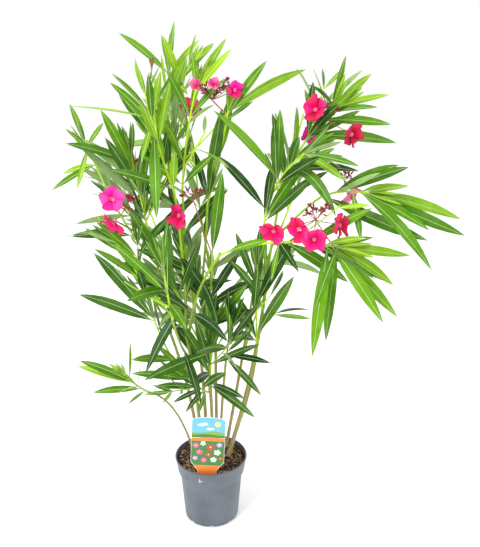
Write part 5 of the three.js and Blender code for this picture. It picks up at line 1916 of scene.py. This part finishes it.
def soil_bed():
    """The body of soil: an uneven top in rings, its side against the pot and a flat underside."""
    points = [Vector((0, 0, soil_height(0, 0)))]
    for ring in range(1, SOIL_RINGS + 1):
        for k in range(SOIL_SIDES):
            x, y = on_circle(SOIL_RADIUS * ring / SOIL_RINGS, math.tau * k / SOIL_SIDES)
            points.append(Vector((x, y, soil_height(x, y))))
    for radius, height in SOIL_WALL:
        for k in range(SOIL_SIDES):
            points.append(Vector((*on_circle(radius, math.tau * k / SOIL_SIDES), height)))
    points.append(Vector((0, 0, SOIL_WALL[-1][1])))
    last = len(points) - 1
    faces = []
    for k in range(SOIL_SIDES):
        after = (k + 1) % SOIL_SIDES
        faces.append((0, 1 + k, 1 + after))
        faces.append((last, last - SOIL_SIDES + after, last - SOIL_SIDES + k))
        for ring in range(SOIL_RINGS + len(SOIL_WALL) - 1):
            a, b = 1 + ring * SOIL_SIDES + k, 1 + ring * SOIL_SIDES + after
            faces.append((a, a + SOIL_SIDES, b + SOIL_SIDES, b))
    bed = Draft()
    bed.add(points, faces, 0)
    return bed


def soil_height(x, y):
    """The soil's top: uneven, and a little sunk at the rim."""
    lumps = sum(
        height * noise.noise(Vector((x / width, y / width, place)))
        for height, width, place in SOIL_LUMPS
    )
    return SOIL_TOP + lumps - SOIL_SINK * (math.hypot(x, y) / SOIL_RADIUS) ** SOIL_SINK_POWER


def soil_place(random):
    radius = LITTER_REACH * math.sqrt(random.next())
    return on_circle(radius, math.tau * random.next())


GOLDEN = 1.618
CRUMB_POINTS = [
    Vector(p).normalized()
    for p in (
        (-1, GOLDEN, 0), (1, GOLDEN, 0), (-1, -GOLDEN, 0), (1, -GOLDEN, 0), (0, -1, GOLDEN),
        (0, 1, GOLDEN), (0, -1, -GOLDEN), (0, 1, -GOLDEN), (GOLDEN, 0, -1), (GOLDEN, 0, 1),
        (-GOLDEN, 0, -1), (-GOLDEN, 0, 1),
    )
]
CRUMB_FACES = (
    (0, 11, 5), (0, 5, 1), (0, 1, 7), (0, 7, 10), (0, 10, 11), (1, 5, 9), (5, 11, 4), (11, 10, 2),
    (10, 7, 6), (7, 1, 8), (3, 9, 4), (3, 4, 2), (3, 2, 6), (3, 6, 8), (3, 8, 9), (4, 9, 5),
    (2, 4, 11), (6, 2, 10), (8, 6, 7), (9, 8, 1),
)


def add_crumb(draft, random):
    """A lump of peat or a chip of bark, lying on the soil."""
    x, y = soil_place(random)
    size = CRUMB_LEAST + CRUMB_GAIN * random.next() ** 3
    flat = random.between(*CRUMB_FLATNESS)
    long = random.between(*CRUMB_LENGTHS)
    turn = Matrix.Rotation(math.tau * random.next(), 3, "Z")
    middle = Vector((x, y, soil_height(x, y) + size * flat * CRUMB_LIFT))
    points = []
    for corner in CRUMB_POINTS:
        grown = corner * (size * random.between(*CRUMB_ROUGHNESS))
        points.append(middle + turn @ Vector((grown.x * long, grown.y, grown.z * flat)))
    draft.add(points, CRUMB_FACES, int(random.next() * CRUMB_KINDS))


def add_fibre(draft, random):
    """A thin bent fibre on the soil."""
    x, y = soil_place(random)
    length = random.between(*FIBRE_LENGTHS)
    way = Vector((*on_circle(1, math.tau * random.next()), 0))
    middle = Vector((x, y, 0))
    ends = [middle - way * (length / 2), middle + way * (length / 2)]
    for end in ends:
        reach = math.hypot(end.x, end.y)
        if reach > LITTER_REACH:
            end.xy *= LITTER_REACH / reach
        end.z = soil_height(end.x, end.y) + random.between(*FIBRE_LIFTS)
    bend = [random.scatter(FIBRE_BEND) for _ in range(2)]
    bow = Vector((*bend, random.between(*FIBRE_BOWS)))
    stem = Stem(curve_between(*ends, bow), (random.between(*FIBRE_RADII), FIBRE_TIP))
    add_tube(draft, stem, 5, 5, int(random.next() * FIBRE_KINDS))


CORNER_STEPS = 8
ARCH_STEPS = 12
# How far inside the label's edge the print ends, and how the layers of ink lie on each other.
PRINT_INSET = 0.7
PRINT_LIFT = 0.02
PRINT_LAYER = 0.012
PRINT_INKS = ("pink", "cloud", "red", "lilac")
HILL_STEPS = 24
HILL_LENGTH = 11


def label_outline(grow):
    """The label's edge, from the foot of its stake all round, at its own origin on the soil."""
    half, stake = LABEL_WIDTH / 2 + grow, STAKE_WIDTH / 2 + grow
    point, top = STAKE_POINT_WIDTH / 2 + grow, LABEL_HEIGHT + grow
    side = top - LABEL_ARCH / 2
    right = [(point, -STAKE_DEPTH - grow), (stake, -STAKE_TAPER_FROM), (stake, STAKE_SHOULDER)]
    right.append((half, LABEL_NECK))
    start, corner, end = (half, top - LABEL_CORNER), (half, side), (half - LABEL_CORNER, side)
    steps = range(CORNER_STEPS + 1)
    right += [rounded(start, corner, end, k / CORNER_STEPS) for k in steps]
    crest, left = (0, top + LABEL_ARCH / 2), (-end[0], side)
    arch = [rounded(end, crest, left, k / ARCH_STEPS) for k in range(1, ARCH_STEPS)]
    return right + arch + [(-x, y) for x, y in reversed(right)]


def rounded(start, corner, end, share):
    """A point on the curve from start to end that bends towards the corner."""
    rest = 1 - share
    weights = rest**2, 2 * rest * share, share**2
    return tuple(
        weights[0] * a + weights[1] * b + weights[2] * c for a, b, c in zip(start, corner, end)
    )


def disc(x, y, radius, sides=18, squash=1, turn=0):
    ring = []
    for k in range(sides):
        a, b = on_circle(radius, math.tau * k / sides)
        b *= squash
        dx = a * math.cos(turn) - b * math.sin(turn)
        dy = a * math.sin(turn) + b * math.cos(turn)
        ring.append((x + dx, y + dy))
    return ring


def hill(low, high, swell, phase):
    """A strip of the print between two heights, with a wavy top."""
    half = LABEL_WIDTH / 2 - PRINT_INSET
    top = []
    for k in range(HILL_STEPS + 1):
        x = lerp(half, -half, k / HILL_STEPS)
        top.append((x, high + swell * math.sin(x / HILL_LENGTH + phase)))
    return [(-half, low), (half, low), *top]


class OLEANDER_OT_label(Operator):
    """Make the plant label with a plain printed picture of sky, field and simple flowers"""

    bl_idname = "oleander.label"
    bl_label = "Plant label"

    def execute(self, context):
        settings = context.scene.oleander_pot
        place = (
            Matrix.Translation(LABEL_AT)
            @ Matrix.Rotation(math.radians(90 - LABEL_LEAN), 4, "X")
            @ Matrix.Rotation(math.radians(-LABEL_TILT), 4, "Z")
        )
        draft = Draft()
        outline = label_outline(0)
        thick = LABEL_THICKNESS / 2
        count = len(outline)
        points = [place @ Vector((x, y, thick)) for x, y in outline]
        points += [place @ Vector((x, y, -thick)) for x, y in outline]
        faces = [tuple(range(count)), tuple(range(2 * count - 1, count - 1, -1))]
        for k in range(count):
            after = (k + 1) % count
            faces.append((k, k + count, after + count, after))
        draft.add(points, faces, 0)
        inks = {
            "sky": settings.sky,
            "cloud": linear("#e9f3f8"),
            "sun": linear("#f7e27a"),
            "band": settings.band,
            "field": settings.field,
            "meadow": mixed(settings.field, linear("#9ccc4a"), 0.5),
            "pink": linear("#ef5c9c"),
            "red": linear("#d42b3a"),
            "lilac": linear("#c4a0da"),
        }
        for layer, (ring, ink) in enumerate(label_print(), 1):
            height = thick + PRINT_LIFT + PRINT_LAYER * layer
            flat = [place @ Vector((x, y, height)) for x, y in ring]
            draft.add(flat, [tuple(range(len(ring)))], 1 + list(inks).index(ink))
        sheet = mottled(
            "polystyrene_sheet_cut", (linear("#f1f0ea"), linear("#e6e4dc")), 0.35, 1.55,
            patch_mm=20, bump_mm=2, bump_depth=0.02,
        )
        skins = [sheet]
        for name, colour in inks.items():
            ink = mottled(
                f"ink_{name}_printed", (mixed(colour, BLACK, 0.08), colour), 0.3, 1.5,
                patch_mm=5, bump_mm=0.6, bump_depth=0.01,
            )
            skins.append(ink)
        settle(draft.make("label_plate", skins, sharp=30), ["plant_label"])
        return {"FINISHED"}


def label_print():
    """The print from back to front, as rings of points with the names of their inks."""
    half, stake = LABEL_WIDTH / 2 - PRINT_INSET, STAKE_WIDTH / 2 - PRINT_INSET
    arch = [(x, y) for x, y in label_outline(-PRINT_INSET) if y > 116]
    neck = LABEL_NECK + 1
    prints = [
        ([(half, 112), *arch, (-half, 112)], "sky"),
        (disc(20, 143, 6.5), "sun"),
        (disc(-17, 140, 8, squash=0.42), "cloud"),
        (disc(-9, 143, 7, squash=0.5), "cloud"),
        (disc(4, 130, 9, squash=0.34), "cloud"),
        (hill(112, 121, swell=2.2, phase=0.4), "meadow"),
        (hill(106, 114, swell=1.6, phase=2), "field"),
        ([(half, neck), (30, 28), (-30, 28), (-half, neck), (-half, 100), (half, 100)], "field"),
        (hill(97, 106, swell=1.2, phase=1), "band"),
        (
            [
                (-stake, -STAKE_TAPER_FROM), (stake, -STAKE_TAPER_FROM), (stake, STAKE_SHOULDER),
                (31, 29), (-31, 29), (-stake, STAKE_SHOULDER),
            ],
            "band",
        ),
    ]
    for number, (x, y, size) in enumerate(PRINTED_FLOWERS):
        ink = PRINT_INKS[number % len(PRINT_INKS)]
        for k in range(PETALS):
            bearing = math.tau * k / PETALS + number
            dx, dy = on_circle(size * 0.6, bearing)
            prints.append((disc(x + dx, y + dy, size * 0.5, 12, 0.8, bearing), ink))
        prints.append((disc(x, y, size * 0.28, 10), "sun"))
    return prints


# The print's flowers: place and size.
PRINTED_FLOWERS = (
    (-27, 84, 7), (-11, 90, 6), (6, 80, 8), (26, 87, 6.5), (-19, 66, 7.5), (22, 66, 7.5),
    (2, 60, 6.5), (-28, 49, 6), (-8, 44, 7), (14, 46, 7), (30, 50, 5.5),
)

# The floor's reach, top and thickness, in millimetres, and what the lamps aim at, in metres.
FLOOR_REACH = 6000
FLOOR_TOP = -0.8
FLOOR_THICKNESS = 0.6
LAMPS_AIM = Vector((0.05, 0, 0.6))


class OLEANDER_OT_stage(Operator):
    """Set the pale floor, the soft studio light and the camera"""

    bl_idname = "oleander.stage"
    bl_label = "Stage"

    def execute(self, context):
        scene = context.scene
        settings = scene.oleander_stage
        scene.view_settings.view_transform = "Standard"
        points = []
        for z in (FLOOR_TOP, FLOOR_TOP - FLOOR_THICKNESS):
            for x, y in ((-1, -1), (1, -1), (1, 1), (-1, 1)):
                points.append(Vector((x * FLOOR_REACH, y * FLOOR_REACH, z)))
        faces = [(0, 1, 2, 3), (7, 6, 5, 4), (0, 4, 5, 1), (1, 5, 6, 2), (2, 6, 7, 3), (3, 7, 4, 0)]
        draft = Draft()
        draft.add(points, faces, 0)
        paint = mottled(
            "floor_paint_rolled", (mixed(WHITE, BLACK, 0.01), WHITE), 0.8, 1.45,
            patch_mm=300, bump_mm=20, bump_depth=0.02,
        )
        draft.make("floor", [paint])
        world = bpy.data.worlds.new("studio")
        world.use_nodes = True
        background = world.node_tree.nodes["Background"]
        background.inputs["Color"].default_value = (*WHITE, 1)
        background.inputs["Strength"].default_value = settings.sky
        scene.world = world
        for name, at, size, power in (
            ("key", (-1.7, -2.2, 2.7), 1.2, settings.key),
            ("fill", (2.2, -1.6, 1.6), 1.6, settings.fill),
            ("back", (0.6, 2.4, 2.6), 1.5, settings.fill),
        ):
            light = bpy.data.lights.new(name, "AREA")
            light.size = size
            light.energy = power
            lamp = bpy.data.objects.new(name, light)
            lamp.location = at
            lamp.rotation_euler = (LAMPS_AIM - lamp.location).to_track_quat("-Z", "Y").to_euler()
            scene.collection.objects.link(lamp)
        lens = bpy.data.cameras.new("camera")
        lens.sensor_width = SENSOR
        lens.lens = CAMERA_FOCUS * SENSOR / PHOTO_HEIGHT
        camera = bpy.data.objects.new("camera", lens)
        camera.location = CAMERA_AT * MM
        camera.rotation_euler = (math.radians(90 - CAMERA_DOWN), 0, 0)
        scene.collection.objects.link(camera)
        scene.camera = camera
        return {"FINISHED"}


class OLEANDER_PT_parts(Panel):
    """Lists the settings and the operators that make each group of pieces"""

    bl_idname = "OLEANDER_PT_parts"
    bl_label = "Potted oleander"
    bl_space_type = "VIEW_3D"
    bl_region_type = "UI"
    bl_category = "Oleander"

    def draw(self, context):
        for name in GROUPS:
            settings = getattr(context.scene, name)
            for key in settings.__annotations__:
                self.layout.prop(settings, key)
        for operator in OPERATORS:
            self.layout.operator(operator.bl_idname)


GROUPS = {
    "oleander_leaves": OleanderLeaves,
    "oleander_stems": OleanderStems,
    "oleander_blossom": OleanderBlossom,
    "oleander_pot": OleanderPot,
    "oleander_stage": OleanderStage,
}
OPERATORS = (
    OLEANDER_OT_stage,
    OLEANDER_OT_canes,
    OLEANDER_OT_shoots,
    OLEANDER_OT_leaves,
    OLEANDER_OT_blossom,
    OLEANDER_OT_pot,
    OLEANDER_OT_soil,
    OLEANDER_OT_label,
)


def register():
    for made in (*GROUPS.values(), *OPERATORS, OLEANDER_PT_parts):
        bpy.utils.register_class(made)
    for name, group in GROUPS.items():
        setattr(bpy.types.Scene, name, PointerProperty(type=group))


def unregister():
    for name in GROUPS:
        delattr(bpy.types.Scene, name)
    for made in (OLEANDER_PT_parts, *reversed(OPERATORS), *GROUPS.values()):
        bpy.utils.unregister_class(made)


def main():
    register()
    for operator in OPERATORS:
        group, name = operator.bl_idname.split(".")
        getattr(getattr(bpy.ops, group), name)()


if __name__ == "__main__":
    main()
